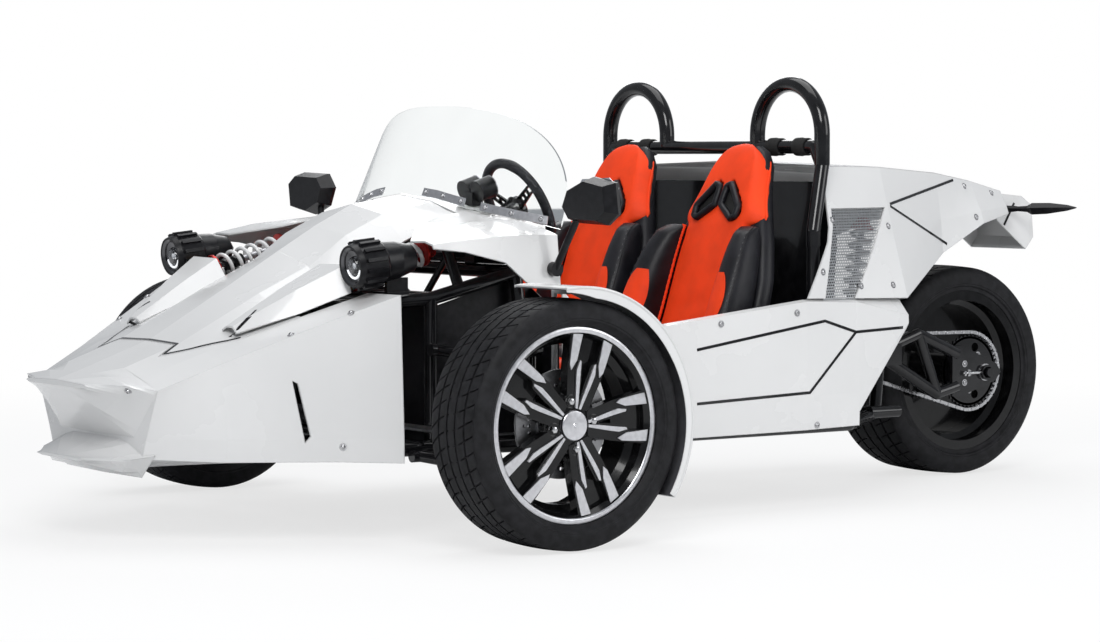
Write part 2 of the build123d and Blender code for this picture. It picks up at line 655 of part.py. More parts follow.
# Body sides below the cabin opening, with the ledge behind it
SIDE_PANEL = [
    # d, outline (y, z) from the top inner lip out and down to the sill
    (228, [(540, 600), (562, 598), (SILL_Y, 300), (556, 206)]),
    (300, [(540, 528), (560, 524), (SILL_Y, 300), (556, 206)]),
    (555, [(540, 502), (560, 498), (SILL_Y, 300), (556, 206)]),
    (1015, [(540, 552), (560, 548), (SILL_Y, 300), (553, 208)]),
    (1205, [(515, 549), (545, 540), (552, 300), (550, 212)]),
]
SIDE_TAIL = [
    (1205, [(515, 549), (545, 540), (552, 300), (550, 248)]),
    (1403, [(480, 541), (520, 500), (521, 478), (516, 469)]),
]
for name, side in SIDES.items():
    with BuildPart() as side_panel:
        for table in (SIDE_PANEL, SIDE_TAIL):
            add(sheet_loft([(d, [(side * y, z) for y, z in points][::side]) for d, points in table], PANEL_WALL))
    save(side_panel.part, f"side_panel_{name}")

# Tapering rear quarters with their vents, closed on top by the deck
QUARTER = [
    # d, outline (y, z) from the deck edge out and down
    (1015, [(478, 905), (553, 740), (560, 555)]),
    (1420, [(378, 898), (427, 745), (497, 545)]),
    (1724, [(268, 881), (291, 750), (302, 657)]),
    (1925, [(190, 858), (240, 770), (252, 737)]),
    (2096, [(135, 828), (164, 783), (172, 761)]),
]
FRONT_EDGE = [(1000, 500), (1015, 552), (1112, 700), (1166, 912), (1000, 912)]
VENT = [(1153, 789), (1405, 789), (1205, 550), (1085, 550)]
DECK = [
    # d, height above the quarter's edge at the middle
    (1170, 14),
    (1420, 14),
    (1724, 10),
    (1925, 8),
    (2096, 6),
]
DECK_INSET = 2 * PANEL_WALL


def quarter_top(d):
    """The (y, z) of the quarter's upper edge at d."""
    for (d0, before), (d1, after) in zip(QUARTER, QUARTER[1:]):
        if d <= d1:
            part = (d - d0) / (d1 - d0)
            return tuple(before[0][i] + part * (after[0][i] - before[0][i]) for i in (0, 1))


def side_outline(points):
    """A closed outline (d, z) as points on the upright plane along the car."""
    return [(FRONT_AXLE + d, z) for d, z in points]


for name, side in SIDES.items():
    with BuildPart() as quarter:
        add(sheet_loft([(d, [(side * y, z) for y, z in points][::side]) for d, points in QUARTER], PANEL_WALL))
        for outline in (FRONT_EDGE, VENT):
            with BuildSketch(profile_plane(0)):
                with BuildLine():
                    Polyline(*side_outline(outline), close=True)
                make_face()
            extrude(amount=-side * 700, mode=Mode.SUBTRACT)
    save(quarter.part, f"rear_quarter_{name}")

with BuildPart() as deck:
    rows = [(d, quarter_top(d), rise) for d, rise in DECK]
    add(sheet_loft([(d, [(-(y - DECK_INSET), z + 2), (0, z + rise), (y - DECK_INSET, z + 2)])
                    for d, (y, z), rise in rows], PANEL_WALL))
save(deck.part, "rear_deck")

# Perforated sheet behind each vent, seated on the quarter's inner face
MESH_WALL = 2.0
MESH_PITCH = 26.0
with BuildPart() as meshes:
    for side in SIDES.values():
        skin = [(d, [(y - PANEL_WALL / 0.9 - SEAT_GAP, z) for y, z in points]) for d, points in QUARTER[:2]]
        add(sheet_loft([(d, [(side * y, z) for y, z in points][::side]) for d, points in skin], MESH_WALL))
    with BuildSketch(profile_plane(0)):
        with BuildLine():
            Polyline(*side_outline([(1143, 797), (1419, 797), (1209, 558), (1073, 558)]), close=True)
        make_face()
    extrude(amount=700, both=True, mode=Mode.INTERSECT)
    with BuildSketch(profile_plane(0)):
        with Locations((FRONT_AXLE + 1240, 670)):
            with GridLocations(MESH_PITCH, MESH_PITCH, 12, 9):
                RegularPolygon(9, 4)
        with BuildLine():
            Polyline(*side_outline([(1165, 780), (1385, 780), (1200, 572), (1100, 572)]), close=True)
        make_face(mode=Mode.INTERSECT)
    extrude(amount=700, both=True, mode=Mode.SUBTRACT)
save(meshes.part, "vent_meshes")

# Tail: an upright wedge below the deck's end, with the lamp in its rear face
TAIL_SIDE = [(2100, 742), (2104, 820), (2196, 812), (2238, 786), (2246, 690), (2216, 655)]
with BuildPart() as tail:
    with BuildSketch(profile_plane(0)):
        with BuildLine():
            Polyline(*side_outline(TAIL_SIDE), close=True)
        make_face()
    extrude(amount=TAIL_HALF, both=True)
    with BuildSketch(profile_plane(0)):
        with BuildLine():
            Polyline(*side_outline([(2000, 700), (2000, 815), (2196, 806), (2230, 781), (2238, 690),
                                    (2214, 664), (2208, 600)]), close=True)
        make_face()
    extrude(amount=TAIL_HALF - PANEL_WALL, both=True, mode=Mode.SUBTRACT)
save(tail.part, "tail_panel")

TAIL_LAMP_Z = 740.0
with BuildPart() as tail_lamp:
    with Locations(at(2251, 0, TAIL_LAMP_Z)):
        Box(14, 130, 36)
save(tail_lamp.part, "tail_lamp")

with BuildPart() as indicators:
    for side in SIDES.values():
        rod(at(2140, TAIL_HALF + SEAT_GAP, 776, side), at(2140, 170, 776, side), 9)
        with BuildSketch(Plane.XY.offset(762)):
            with BuildLine():
                Polyline(at(2118, 150, 0, side)[:2], at(2168, 138, 0, side)[:2], at(2215, 335, 0, side)[:2],
                         at(2180, 300, 0, side)[:2], close=True)
            make_face()
        extrude(amount=26)
save(indicators.part, "rear_indicators")

# Windshield: a curved leaning screen, trimmed to a round top
SCREEN_FRONT = 110.0
SCREEN_BASE_Z = 835.0
SCREEN_TOP_Z = 1059.0
SCREEN_HALF = 505.0
SCREEN_SAG = 180.0
SCREEN_LEAN = 0.47
SCREEN_WALL = 4.0
SCREEN_LOW_Z = 742.0
low_d = SCREEN_FRONT - SCREEN_LEAN * (SCREEN_BASE_Z - SCREEN_LOW_Z)
high = SCREEN_TOP_Z - SCREEN_LOW_Z
SCREEN_BASE = [(-500, 746), (-400, 774), (-256, 795), (-150, 816), (0, 832), (150, 816), (256, 795), (400, 774),
               (500, 746)]
SCREEN_TOP = [(500, 746), (410, 960), (0, SCREEN_TOP_Z), (-410, 960), (-500, 746)]
with BuildPart() as screen_front:
    with BuildSketch(station(-200)):
        with BuildLine():
            Polyline(*SCREEN_BASE)
            Spline(*SCREEN_TOP)
        make_face()
    extrude(amount=1000)
screen_axis = Vector(SCREEN_LEAN, 0, 1).normalized()
screen_low = Plane(origin=at(low_d, 0, SCREEN_LOW_Z), x_dir=(0, 1, 0), z_dir=screen_axis).offset(-120)
with BuildPart() as screen:
    with BuildSketch(screen_low):
        with BuildLine():
            front = ThreePointArc((-SCREEN_HALF, -SCREEN_SAG), (0, 0), (SCREEN_HALF, -SCREEN_SAG))
            back = ThreePointArc((-SCREEN_HALF, -SCREEN_SAG - SCREEN_WALL), (0, -SCREEN_WALL),
                                 (SCREEN_HALF, -SCREEN_SAG - SCREEN_WALL))
            Line(front @ 0, back @ 0)
            Line(front @ 1, back @ 1)
        make_face()
    extrude(amount=high * 1.11 + 120)
    add(screen_front.part, mode=Mode.INTERSECT)
save(screen.part, "windshield")

# Dashboard behind the scuttle, and the instrument pod on top of it
WHEEL_POINT = Vector(*at(300, -SEAT_Y, 795))
WHEEL_TILT = 24.0
WHEEL_AXIS = Vector(cos(radians(WHEEL_TILT)), 0, sin(radians(WHEEL_TILT)))
COLUMN_R = 20.0
DASH_HALF = 395.0
DASH_PROFILE = [(DASH_D, 657.3), (226, 660), (240, 700), (236, 758), (186, 758), (186, 663), (DASH_D, 662)]
with BuildPart() as dashboard:
    with BuildSketch(profile_plane(0)):
        with BuildLine():
            Polyline(*side_outline(DASH_PROFILE), close=True)
        make_face()
    extrude(amount=DASH_HALF, both=True)
    with BuildSketch(profile_plane(0)):
        with BuildLine():
            Polyline(*side_outline([(180, 668), (221, 666), (234, 701), (231, 753), (180, 753)]), close=True)
        make_face()
    extrude(amount=DASH_HALF - PANEL_WALL, both=True, mode=Mode.SUBTRACT)
    rod_axis = Plane(origin=WHEEL_POINT, z_dir=-WHEEL_AXIS)
    with Locations(rod_axis):
        Cylinder(COLUMN_R + 6, 240, align=(Align.CENTER, Align.CENTER, Align.MIN), mode=Mode.SUBTRACT)
    with Locations(at(DASH_D, -SEAT_Y, DASH_Z + POST_R)):
        Box(30, 46, 90, mode=Mode.SUBTRACT)
save(dashboard.part, "dashboard")

POD_Z = 838.0
POD_R = 28.0
with BuildPart() as pod:
    with Locations(at(206, -197, 801)):
        Box(34, 36, 34, align=(Align.CENTER, Align.CENTER, Align.MIN))
    for y in (-230, -168):
        rod(at(194, y, POD_Z), at(236, y, POD_Z + 14), POD_R)
    add(MADE["cowl"], mode=Mode.SUBTRACT)
save(pod.part, "instrument_pod")

# Steering column and wheel; the wheel's axis leans back to the driver
WHEEL_R = 126.0
WHEEL_RIM_R = 14.0
SHAFT_R = 9.0
column_end = WHEEL_POINT - WHEEL_AXIS * 48
column_start = WHEEL_POINT - WHEEL_AXIS * 215
joint_low = Vector(*at(RACK_D + 28, -150, RACK_Z + 44))
with BuildPart() as column:
    rod(column_start, column_end, COLUMN_R)
    with Locations(Plane(origin=column_end, z_dir=-WHEEL_AXIS)):
        Cylinder(SHAFT_R + BEARING_GAP, 60, align=(Align.CENTER, Align.CENTER, Align.MIN), mode=Mode.SUBTRACT)
    rod(column_start, joint_low, SHAFT_R)
    with Locations(Plane(origin=column_start, z_dir=WHEEL_AXIS)):
        Cylinder(COLUMN_R + 3, 26)
    with Locations(Plane(origin=joint_low, z_dir=joint_low - column_start)):
        Cylinder(13, 24)
    rod(joint_low, Vector(*at(RACK_D, -150, RACK_Z + HOUSING_R)), SHAFT_R)
    with Locations(at(DASH_D, -SEAT_Y, DASH_Z + POST_R + SEAT_GAP)):
        Box(26, 44, 70, align=(Align.CENTER, Align.CENTER, Align.MIN))
    add(rack_housing.part, mode=Mode.SUBTRACT)
save(column.part, "steering_column")

with BuildPart() as floor_pan_open:
    add(floor_pan.part)
    with Locations(Plane(origin=joint_low, z_dir=(column_start - joint_low).normalized())):
        Cylinder(SHAFT_R + 5, 400, align=(Align.CENTER, Align.CENTER, Align.MIN), mode=Mode.SUBTRACT)
    for label in ("front_frame", "rear_frame"):
        add(MADE[label], mode=Mode.SUBTRACT)
save(floor_pan_open.part, "floor_pan")

wheel_face = Plane(origin=WHEEL_POINT, x_dir=(0, 1, 0), z_dir=WHEEL_AXIS)
with BuildPart() as steering_wheel:
    with Locations(wheel_face):
        Torus(WHEEL_R, WHEEL_RIM_R)
    with BuildSketch(wheel_face.offset(-17)):
        Circle(34)
        with PolarLocations(0, 3, start_angle=-90):
            with Locations((WHEEL_R / 2, 0)):
                Rectangle(WHEEL_R, 24)
    extrude(amount=8)
    with BuildSketch(wheel_face.offset(-48 + SEAT_GAP)):
        Circle(30)
    extrude(amount=34)
    with BuildSketch(wheel_face.offset(-48 + SEAT_GAP)):
        Circle(SHAFT_R)
    extrude(amount=-50)
save(steering_wheel.part, "steering_wheel")

# Bucket seats: a padded centre with raised bolsters, inside one front outline
SEAT_PROFILE = [
    # d, z of the centre pad seen from the side
    (440, 252), (428, 330), (446, 392), (780, 358), (826, 398), (868, 489), (939, 749), (1010, 900), (1036, 952),
    (1066, 958), (1072, 900), (1020, 740), (960, 500), (905, 252),
]
BOLSTER_PROFILE = [
    (440, 252), (424, 340), (450, 434), (700, 430), (776, 470), (812, 560), (868, 680), (939, 749), (1005, 770),
    (960, 500), (905, 252),
]
SEAT_FRONT = [
    # y from the seat's centre, z
    (190, 250), (SEAT_HALF - 6, 400), (SEAT_HALF, 560), (196, 700), (176, 752), (128, 850), (112, 920), (70, 962),
]
SEAT_BASE_Z = PAN_Z + FLOOR_SHEET + SEAT_GAP
for name, side in SIDES.items():
    with BuildPart() as seat:
        with BuildSketch(profile_plane(side * SEAT_Y)):
            with BuildLine():
                Polyline(*side_outline(SEAT_PROFILE), close=True)
            make_face()
        extrude(amount=SEAT_HALF, both=True)
        for edge in (-1, 1):
            with BuildSketch(profile_plane(side * SEAT_Y + edge * (SEAT_HALF - 34))):
                with BuildLine():
                    Polyline(*side_outline(BOLSTER_PROFILE), close=True)
                make_face()
            extrude(amount=34, both=True)
        with BuildSketch(station(300)):
            with BuildLine():
                Polyline(*[(side * SEAT_Y - y, z) for y, z in SEAT_FRONT],
                         *[(side * SEAT_Y + y, z) for y, z in reversed(SEAT_FRONT)], close=True)
            make_face()
        extrude(amount=900, mode=Mode.INTERSECT)
        for d in (480, 860):
            with Locations(at(d, SEAT_Y, (SEAT_BASE_Z + 262) / 2, side)):
                Box(50, 300, 262 - SEAT_BASE_Z)
    save(seat.part, f"seat_{name}")

# Black bulkhead behind the seats
BULKHEAD = [(1146, PAN_Z + FLOOR_SHEET + SEAT_GAP), (1150, PAN_Z + FLOOR_SHEET + SEAT_GAP), (1206, 860), (1202, 860)]
with BuildPart() as bulkhead:
    with BuildSketch(profile_plane(0)):
        with BuildLine():
            Polyline(*side_outline(BULKHEAD), close=True)
        make_face()
    extrude(amount=470, both=True)
    with BuildSketch(station(1100)):
        with BuildLine():
            Polyline((-470, 230), (470, 230), (470, 700), (424, 862), (-424, 862), (-470, 700), close=True)
        make_face()
    extrude(amount=200, mode=Mode.INTERSECT)
    add(MADE["rear_frame"], mode=Mode.SUBTRACT)
save(bulkhead.part, "rear_bulkhead")

# Roll hoops on a cross tube, with a cranked leg at each end
HARNESS_Z = 954.0
HARNESS_D = 1130.0
HARNESS_Y = 452.0
LEG_POINTS = [
    # d, y, z from the cross tube's end down to the post on the chassis
    (HARNESS_D, HARNESS_Y, HARNESS_Z),
    (HARNESS_D, 480, 905),
    (REAR_POST_D, REAR_POST_Y, REAR_POST_TOP + 40),
    (REAR_POST_D, REAR_POST_Y, REAR_POST_TOP),
]
hoop_centre_z = HOOP_TOP_Z - HOOP_TUBE_R - HOOP_R
with BuildPart() as hoops:
    rod(at(HARNESS_D, -HARNESS_Y, HARNESS_Z), at(HARNESS_D, HARNESS_Y, HARNESS_Z), HOOP_TUBE_R - 2)
    for side in SIDES.values():
        bent_rod([at(d, y, z, side) for d, y, z in LEG_POINTS], HOOP_TUBE_R - 2)
        with Locations(at(HARNESS_D, HARNESS_Y, HARNESS_Z, side)):
            Sphere(HOOP_TUBE_R - 2)
        with BuildSketch(Plane.XY.offset(hoop_centre_z)):
            with Locations(at(HARNESS_D, HOOP_Y + HOOP_R, 0, side)[:2]):
                Circle(HOOP_TUBE_R)
        revolve(axis=Axis(at(HARNESS_D, HOOP_Y, hoop_centre_z, side), (1, 0, 0)), revolution_arc=180 * side)
        rod(at(HARNESS_D, HOOP_Y - HOOP_R, HARNESS_Z, side), at(HARNESS_D, HOOP_Y - HOOP_R, hoop_centre_z, side),
            HOOP_TUBE_R)
        rod(at(HARNESS_D, HOOP_Y + HOOP_R, 905, side), at(HARNESS_D, HOOP_Y + HOOP_R, hoop_centre_z, side),
            HOOP_TUBE_R)
save(hoops.part, "roll_hoops")

# Projector lamps on brackets from the chassis
LAMP_Y = 460.0
LAMP_FRONT = (-318, LAMP_Y, 664)
LAMP_REAR = (-130, LAMP_Y, 684)
LAMP_R = 54.0
LAMP_PROFILE = [
    # distance from the front, radius
    (0, LAMP_R - 8), (8, LAMP_R), (70, LAMP_R + 2), (78, LAMP_R - 4), (120, LAMP_R - 8), (165, LAMP_R - 20),
    (188, 0),
]
LAMP_RIBS = 14
with BuildPart() as lamps:
    for side in SIDES.values():
        a, b = Vector(*at(*LAMP_FRONT, side)), Vector(*at(*LAMP_REAR, side))
        lamp_axis = (b - a).normalized()
        with BuildSketch(Plane(origin=a, x_dir=lamp_axis, z_dir=(0, 1, 0))):
            with BuildLine():
                Polyline((0, 0), *LAMP_PROFILE, close=True)
            make_face()
        revolve(axis=Axis(a, lamp_axis))
        with Locations(Plane(origin=a, z_dir=lamp_axis)):
            Cylinder(LAMP_R - 16, 14, align=(Align.CENTER, Align.CENTER, Align.MIN), mode=Mode.SUBTRACT)
        with Locations(Plane(origin=a + lamp_axis * 39, z_dir=lamp_axis)):
            with PolarLocations(LAMP_R + 4, LAMP_RIBS):
                Box(8, 9, 56)
        with Locations(at(-190, LAMP_Y - 6, 614, side)):
            Box(60, 12, 40)
        with Locations(at(-190, 430, 596, side)):
            Box(60, 70, 6)
        with Locations(at(-190, 400, 586, side)):
            Box(60, 12, 26)
    for label in ("front_frame",):
        add(MADE[label], mode=Mode.SUBTRACT)
save(lamps.part, "headlamps")

# Mirrors on cranked stalks from the cowl's sides
MIRROR_STALK = [(200, 572, 650), (226, 602, 740), (236, 622, 786)]
MIRROR_FACE = [(0, -56), (92, -42), (104, 34), (60, 62), (-66, 58), (-100, 20), (-74, -30)]
with BuildPart() as mirrors:
    for side in SIDES.values():
        bent_rod([at(d, y, z, side) for d, y, z in MIRROR_STALK], 9)
        rod(at(200, 560.4, 650, side), at(200, 580, 650, side), 18)
        mirror_plane = Plane(origin=at(246, 668, 822, side), x_dir=(0, side, 0), z_dir=(1, 0, 0))
        with BuildSketch(mirror_plane):
            with BuildLine():
                Polyline(*MIRROR_FACE, close=True)
            make_face()
        extrude(amount=-34, taper=18)
        with BuildSketch(mirror_plane):
            with BuildLine():
                Polyline(*MIRROR_FACE, close=True)
            make_face()
        extrude(amount=8)
save(mirrors.part, "mirrors")

# Swingarm of tube, with a pivot through the chassis plates and a fixed axle
ARM_Y = 208.0
ARM_TUBE_R = 17.0
DROPOUT_D = 1862.0
AXLE_END = ARM_Y + 30.0
CROSS_D = 1625.0
CROSS_Z = 396.0
CROSS_R = 13.0
SWINGARM_TUBES = [
    ((PIVOT_D, 150, PIVOT_Z), (1714, ARM_Y, 424)),
    ((1714, ARM_Y, 424), (DROPOUT_D, ARM_Y, 362)),
    ((PIVOT_D, ARM_Y, PIVOT_Z), (1786, ARM_Y, 250)),
    ((1786, ARM_Y, 250), (DROPOUT_D, ARM_Y, 268)),
    ((1714, ARM_Y, 424), (1786, ARM_Y, 250)),
]
with BuildPart() as swingarm:
    rod(at(PIVOT_D, -PIVOT_Y, PIVOT_Z), at(PIVOT_D, PIVOT_Y, PIVOT_Z), 15)
    rod(at(PIVOT_D, -ARM_Y - 20, PIVOT_Z), at(PIVOT_D, ARM_Y + 20, PIVOT_Z), 22)
    for side in SIDES.values():
        for start, end in SWINGARM_TUBES:
            rod((start[0] + FRONT_AXLE, side * ARM_Y, start[2]), at(*end, side), ARM_TUBE_R)
        for d, z in ((1714, 424), (1786, 250)):
            with Locations(at(d, ARM_Y, z, side)):
                Sphere(ARM_TUBE_R)
        with BuildSketch(profile_plane(side * ARM_Y)):
            with BuildLine():
                Polyline(*side_outline([(1842, 240), (1842, 385), (1880, 385), (2010, 330), (2030, 305),
                                        (2010, 280), (1880, 240)]), close=True)
            make_face()
        extrude(amount=6, both=True)
    rod((REAR_AXLE, -AXLE_END, REAR_TYRE_R), (REAR_AXLE, AXLE_END, REAR_TYRE_R), AXLE_R)
    for side in SIDES.values():
        rod((REAR_AXLE, side * (ARM_Y - 6), REAR_TYRE_R),
            (REAR_AXLE, side * (CHAIN_Y + SPROCKET_THICK / 2 + 1), REAR_TYRE_R), 24)
        rod((REAR_AXLE, side * (ARM_Y + 6), REAR_TYRE_R), (REAR_AXLE, side * (ARM_Y + 20), REAR_TYRE_R), 22)
    rod(at(CROSS_D, -ARM_Y, CROSS_Z), at(CROSS_D, ARM_Y, CROSS_Z), CROSS_R)
save(swingarm.part, "swingarm")

# Chain: one closed loop round the rear sprocket and the engine's output sprocket
DRIVE_D = 1440.0
DRIVE_Z = 385.0
DRIVE_R = 40.0


def chain_outline(grow):
    """The two tangent lines and arcs round both sprockets, at chain radius plus grow, as (x, z)."""
    ax, az, ar = REAR_AXLE, REAR_TYRE_R, CHAIN_R + grow
    bx, bz, br = FRONT_AXLE + DRIVE_D, DRIVE_Z, DRIVE_R + grow
    span = hypot(ax - bx, az - bz)
    ux, uz = (bx - ax) / span, (bz - az) / span
    lean = (ar - br) / span
    rise = sqrt(1 - lean * lean)
    points = {}
    for label, turn in (("low", 1), ("high", -1)):
        nx = ux * lean - turn * uz * rise
        nz = uz * lean + turn * ux * rise
        points[label] = ((ax + nx * ar, az + nz * ar), (bx + nx * br, bz + nz * br))
    return points, (ax - ux * ar, az - uz * ar), (bx + ux * br, bz + uz * br)


def chain_face(grow):
    points, back, front = chain_outline(grow)
    with BuildSketch() as face:
        with BuildLine():
            ThreePointArc(points["low"][0], back, points["high"][0])
            Line(points["high"][0], points["high"][1])
            ThreePointArc(points["high"][1], front, points["low"][1])
            Line(points["low"][1], points["low"][0])
        make_face()
    return face.sketch


with BuildPart() as chain:
    with BuildSketch(profile_plane(-CHAIN_Y)):
        add(chain_face(CHAIN_HALF_HIGH))
        add(chain_face(-CHAIN_HALF_HIGH), mode=Mode.SUBTRACT)
    extrude(amount=CHAIN_HALF_WIDE, both=True)
save(chain.part, "chain")

# Engine as one plain block, with its output sprocket in the chain's line
ENGINE_LOW = (1222, -118, PAN_Z + SEAT_GAP)
ENGINE_HIGH = (1480, 190, 600)
with BuildPart() as engine:
    low, high = Vector(*at(*ENGINE_LOW)), Vector(*at(*ENGINE_HIGH))
    with Locations((low + high) / 2):
        Box(*tuple(high - low))
    rod(at(DRIVE_D, -116, DRIVE_Z), at(DRIVE_D, -CHAIN_Y - SPROCKET_THICK / 2 - 6, DRIVE_Z), 12)
    rod(at(DRIVE_D, -CHAIN_Y + SPROCKET_THICK / 2, DRIVE_Z), at(DRIVE_D, -CHAIN_Y - SPROCKET_THICK / 2, DRIVE_Z),
        DRIVE_R - CHAIN_HALF_HIGH - SEAT_GAP)
save(engine.part, "engine_block")

# Rear spring and damper between the chassis and the swingarm's pivot end
with BuildPart() as rear_shock:
    a = Vector(*at(CROSS_D + 4, 0, CROSS_Z + CROSS_R + 2))
    b = Vector(*at(1692, 0, TAIL_RAIL_Z - BRACE_R - 2))
    along = (b - a).normalized()
    rod(a, b, 10)
    rod(b - along * 200, b - along * 30, 19)
    rod(a + along * 40, a + along * 52, COIL_R + 2)
    rod(b - along * 96, b - along * 80, COIL_R + 2)
    spring_start = a + along * 52
    pitch = ((b - along * 96) - spring_start).length / COIL_TURNS
    for turn in range(COIL_TURNS):
        with Locations(Plane(origin=spring_start + along * (pitch * (turn + 0.5)), z_dir=along)):
            Cylinder(COIL_R, COIL_WIRE_R * 2)
save(rear_shock.part, "rear_shock")

# Exhaust silencer low on the right, with its pipe from the engine
with BuildPart() as exhaust:
    rod(at(1540, 350, 302), at(1860, 350, 336), 46)
    bent_rod([at(1440, ENGINE_HIGH[1] + SEAT_GAP, 300), at(1440, 350, 300), at(1560, 350, 303)], 18)
save(exhaust.part, "exhaust")
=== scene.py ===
"""Looks of the three wheeled roadster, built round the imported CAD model. Metres, in the CAD frame."""

from math import atan2, cos, hypot, pi, radians, sin, sqrt

import bmesh
import bpy
import numpy as np
from mathutils import Euler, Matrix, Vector
from mathutils.bvhtree import BVHTree


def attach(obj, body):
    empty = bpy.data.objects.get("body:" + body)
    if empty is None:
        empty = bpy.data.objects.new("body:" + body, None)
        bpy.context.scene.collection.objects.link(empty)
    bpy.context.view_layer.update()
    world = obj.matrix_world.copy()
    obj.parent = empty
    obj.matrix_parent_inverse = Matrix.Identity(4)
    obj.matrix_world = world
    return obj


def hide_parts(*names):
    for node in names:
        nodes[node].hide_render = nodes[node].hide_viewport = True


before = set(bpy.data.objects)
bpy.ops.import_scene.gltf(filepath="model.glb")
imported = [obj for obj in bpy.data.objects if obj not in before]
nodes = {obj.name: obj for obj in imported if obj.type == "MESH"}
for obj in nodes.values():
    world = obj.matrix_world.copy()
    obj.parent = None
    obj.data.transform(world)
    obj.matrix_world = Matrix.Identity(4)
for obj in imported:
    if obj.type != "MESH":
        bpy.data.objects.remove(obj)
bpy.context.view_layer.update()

SIDES = {"left": -1, "right": 1}
FRONT_AXLE = -0.696
REAR_AXLE = 1.271
HALF_TRACK = 0.86
FRONT_R = 0.298
REAR_R = 0.305
X, Y, Z = Vector((1, 0, 0)), Vector((0, 1, 0)), Vector((0, 0, 1))


def at(d, y, z):
    """The point d mm behind the front axle, y mm across and z mm up, in metres."""
    return Vector((FRONT_AXLE + d / 1000, y / 1000, z / 1000))


# Camera at the photograph's angle

PHOTO = (1100, 642)
FOCAL_PX = 3100.0
camera = bpy.data.objects.new("camera", bpy.data.cameras.new("camera"))
bpy.context.scene.collection.objects.link(camera)
camera.location = (-4.883, -6.841, 0.924)
camera.rotation_euler = (radians(86.99), 0, radians(-34.88))
camera.data.sensor_width = 36.0
camera.data.lens = FOCAL_PX / PHOTO[0] * 36.0
bpy.context.scene.camera = camera
bpy.context.scene.view_settings.view_transform = "Standard"


# Materials

RELIEF = 0.0006  # height of a full bump
COAT_ROUGHNESS = 0.04


def fill(node, values):
    """Set the node's inputs by name."""
    for socket, value in values.items():
        node.inputs[socket].default_value = value
    return node


def material(name, colour, rough, metal=0.0, vary=0.1, scale=25.0, bump=0.0, bump_scale=400.0, grain="noise",
             stretch=(1, 1, 1), coat=0.0, soften=0.0, transmission=0.0, ior=1.5, emission=0.0):
    """A surface whose colour, roughness and relief vary with the place on the object."""
    made = bpy.data.materials.new(name)
    made.use_nodes = True
    tree = made.node_tree
    new, link = tree.nodes.new, tree.links.new
    shader = tree.nodes["Principled BSDF"]
    place = new("ShaderNodeTexCoord")
    mapping = fill(new("ShaderNodeMapping"), {"Scale": stretch})
    link(place.outputs["Object"], mapping.inputs["Vector"])
    noise = fill(new("ShaderNodeTexNoise"), {"Scale": scale, "Detail": 6})
    link(mapping.outputs["Vector"], noise.inputs["Vector"])
    blend = new("ShaderNodeMix")
    blend.data_type = "RGBA"
    dark = tuple(c * (1 - vary) for c in colour)
    light = tuple(min(1.0, c * (1 + vary) + vary * 0.01) for c in colour)
    fill(blend, {"A": (*dark, 1), "B": (*light, 1)})
    spread = fill(new("ShaderNodeMapRange"), {"From Min": 0.35, "From Max": 0.65})
    link(noise.outputs["Fac"], spread.inputs["Value"])
    link(spread.outputs["Result"], blend.inputs["Factor"])
    link(blend.outputs["Result"], shader.inputs["Base Color"])
    gloss = fill(new("ShaderNodeMapRange"), {"To Min": rough * 0.8, "To Max": min(1.0, rough * 1.25)})
    link(noise.outputs["Fac"], gloss.inputs["Value"])
    link(gloss.outputs["Result"], shader.inputs["Roughness"])
    fill(shader, {"Metallic": metal, "Coat Weight": coat, "Coat Roughness": COAT_ROUGHNESS, "IOR": ior,
                  "Transmission Weight": transmission})
    if emission:
        fill(shader, {"Emission Color": (*colour, 1), "Emission Strength": emission})
    normal = None
    if soften:
        edge = fill(new("ShaderNodeBevel"), {"Radius": soften})
        edge.samples = 3
        normal = edge.outputs["Normal"]
    if bump:
        relief = fill(new("ShaderNodeBump"), {"Strength": bump, "Distance": RELIEF})
        if grain == "leather":
            pattern = new("ShaderNodeTexVoronoi")
            pattern.feature = "DISTANCE_TO_EDGE"
            height = pattern.outputs["Distance"]
        else:
            pattern = fill(new("ShaderNodeTexNoise"), {"Detail": 4})
            height = pattern.outputs["Fac"]
        fill(pattern, {"Scale": bump_scale})
        link(mapping.outputs["Vector"], pattern.inputs["Vector"])
        link(height, relief.inputs["Height"])
        if normal:
            link(normal, relief.inputs["Normal"])
        normal = relief.outputs["Normal"]
    if normal:
        link(normal, shader.inputs["Normal"])
    return made


WHITE = material("white_gelcoat", (0.745, 0.745, 0.742), 0.26, ior=1.4, vary=0.02, scale=3, bump=0.04,
                 bump_scale=60, coat=0.35, soften=0.0035)
# Painted shade: the near-black liner colour stands in for the shadow under each white front mudguard.
FENDER_SHADE = material("fender_painted_shade", (0.07, 0.07, 0.078), 0.6, vary=0.15, scale=40, bump=0.3)
BLACK_PAINT = material("black_gloss_paint", (0.005, 0.005, 0.006), 0.14, ior=1.35, vary=0.3, scale=30,
                       bump=0.12, bump_scale=300, coat=0.35, soften=0.001)
BLACK_PLASTIC = material("black_moulding", (0.006, 0.006, 0.0075), 0.3, ior=1.35, vary=0.25, scale=60,
                         bump=0.25, bump_scale=900, soften=0.0012)
RUBBER = material("tyre_rubber", (0.009, 0.009, 0.0105), 0.6, ior=1.3, vary=0.35, scale=45, bump=0.35,
                  bump_scale=700)
MACHINED = material("machined_alloy", (0.62, 0.62, 0.64), 0.3, metal=1.0, vary=0.08, scale=90, bump=0.1,
                    bump_scale=500, soften=0.0006)
BLACK_ALLOY = material("black_alloy", (0.003, 0.003, 0.0034), 0.14, ior=1.28, vary=0.3, scale=50, bump=0.06,
                       coat=0.25, soften=0.001)
DISC = material("ground_steel", (0.32, 0.32, 0.33), 0.36, metal=1.0, vary=0.15, scale=60, bump=0.4,
                bump_scale=500, stretch=(1, 0.2, 1))
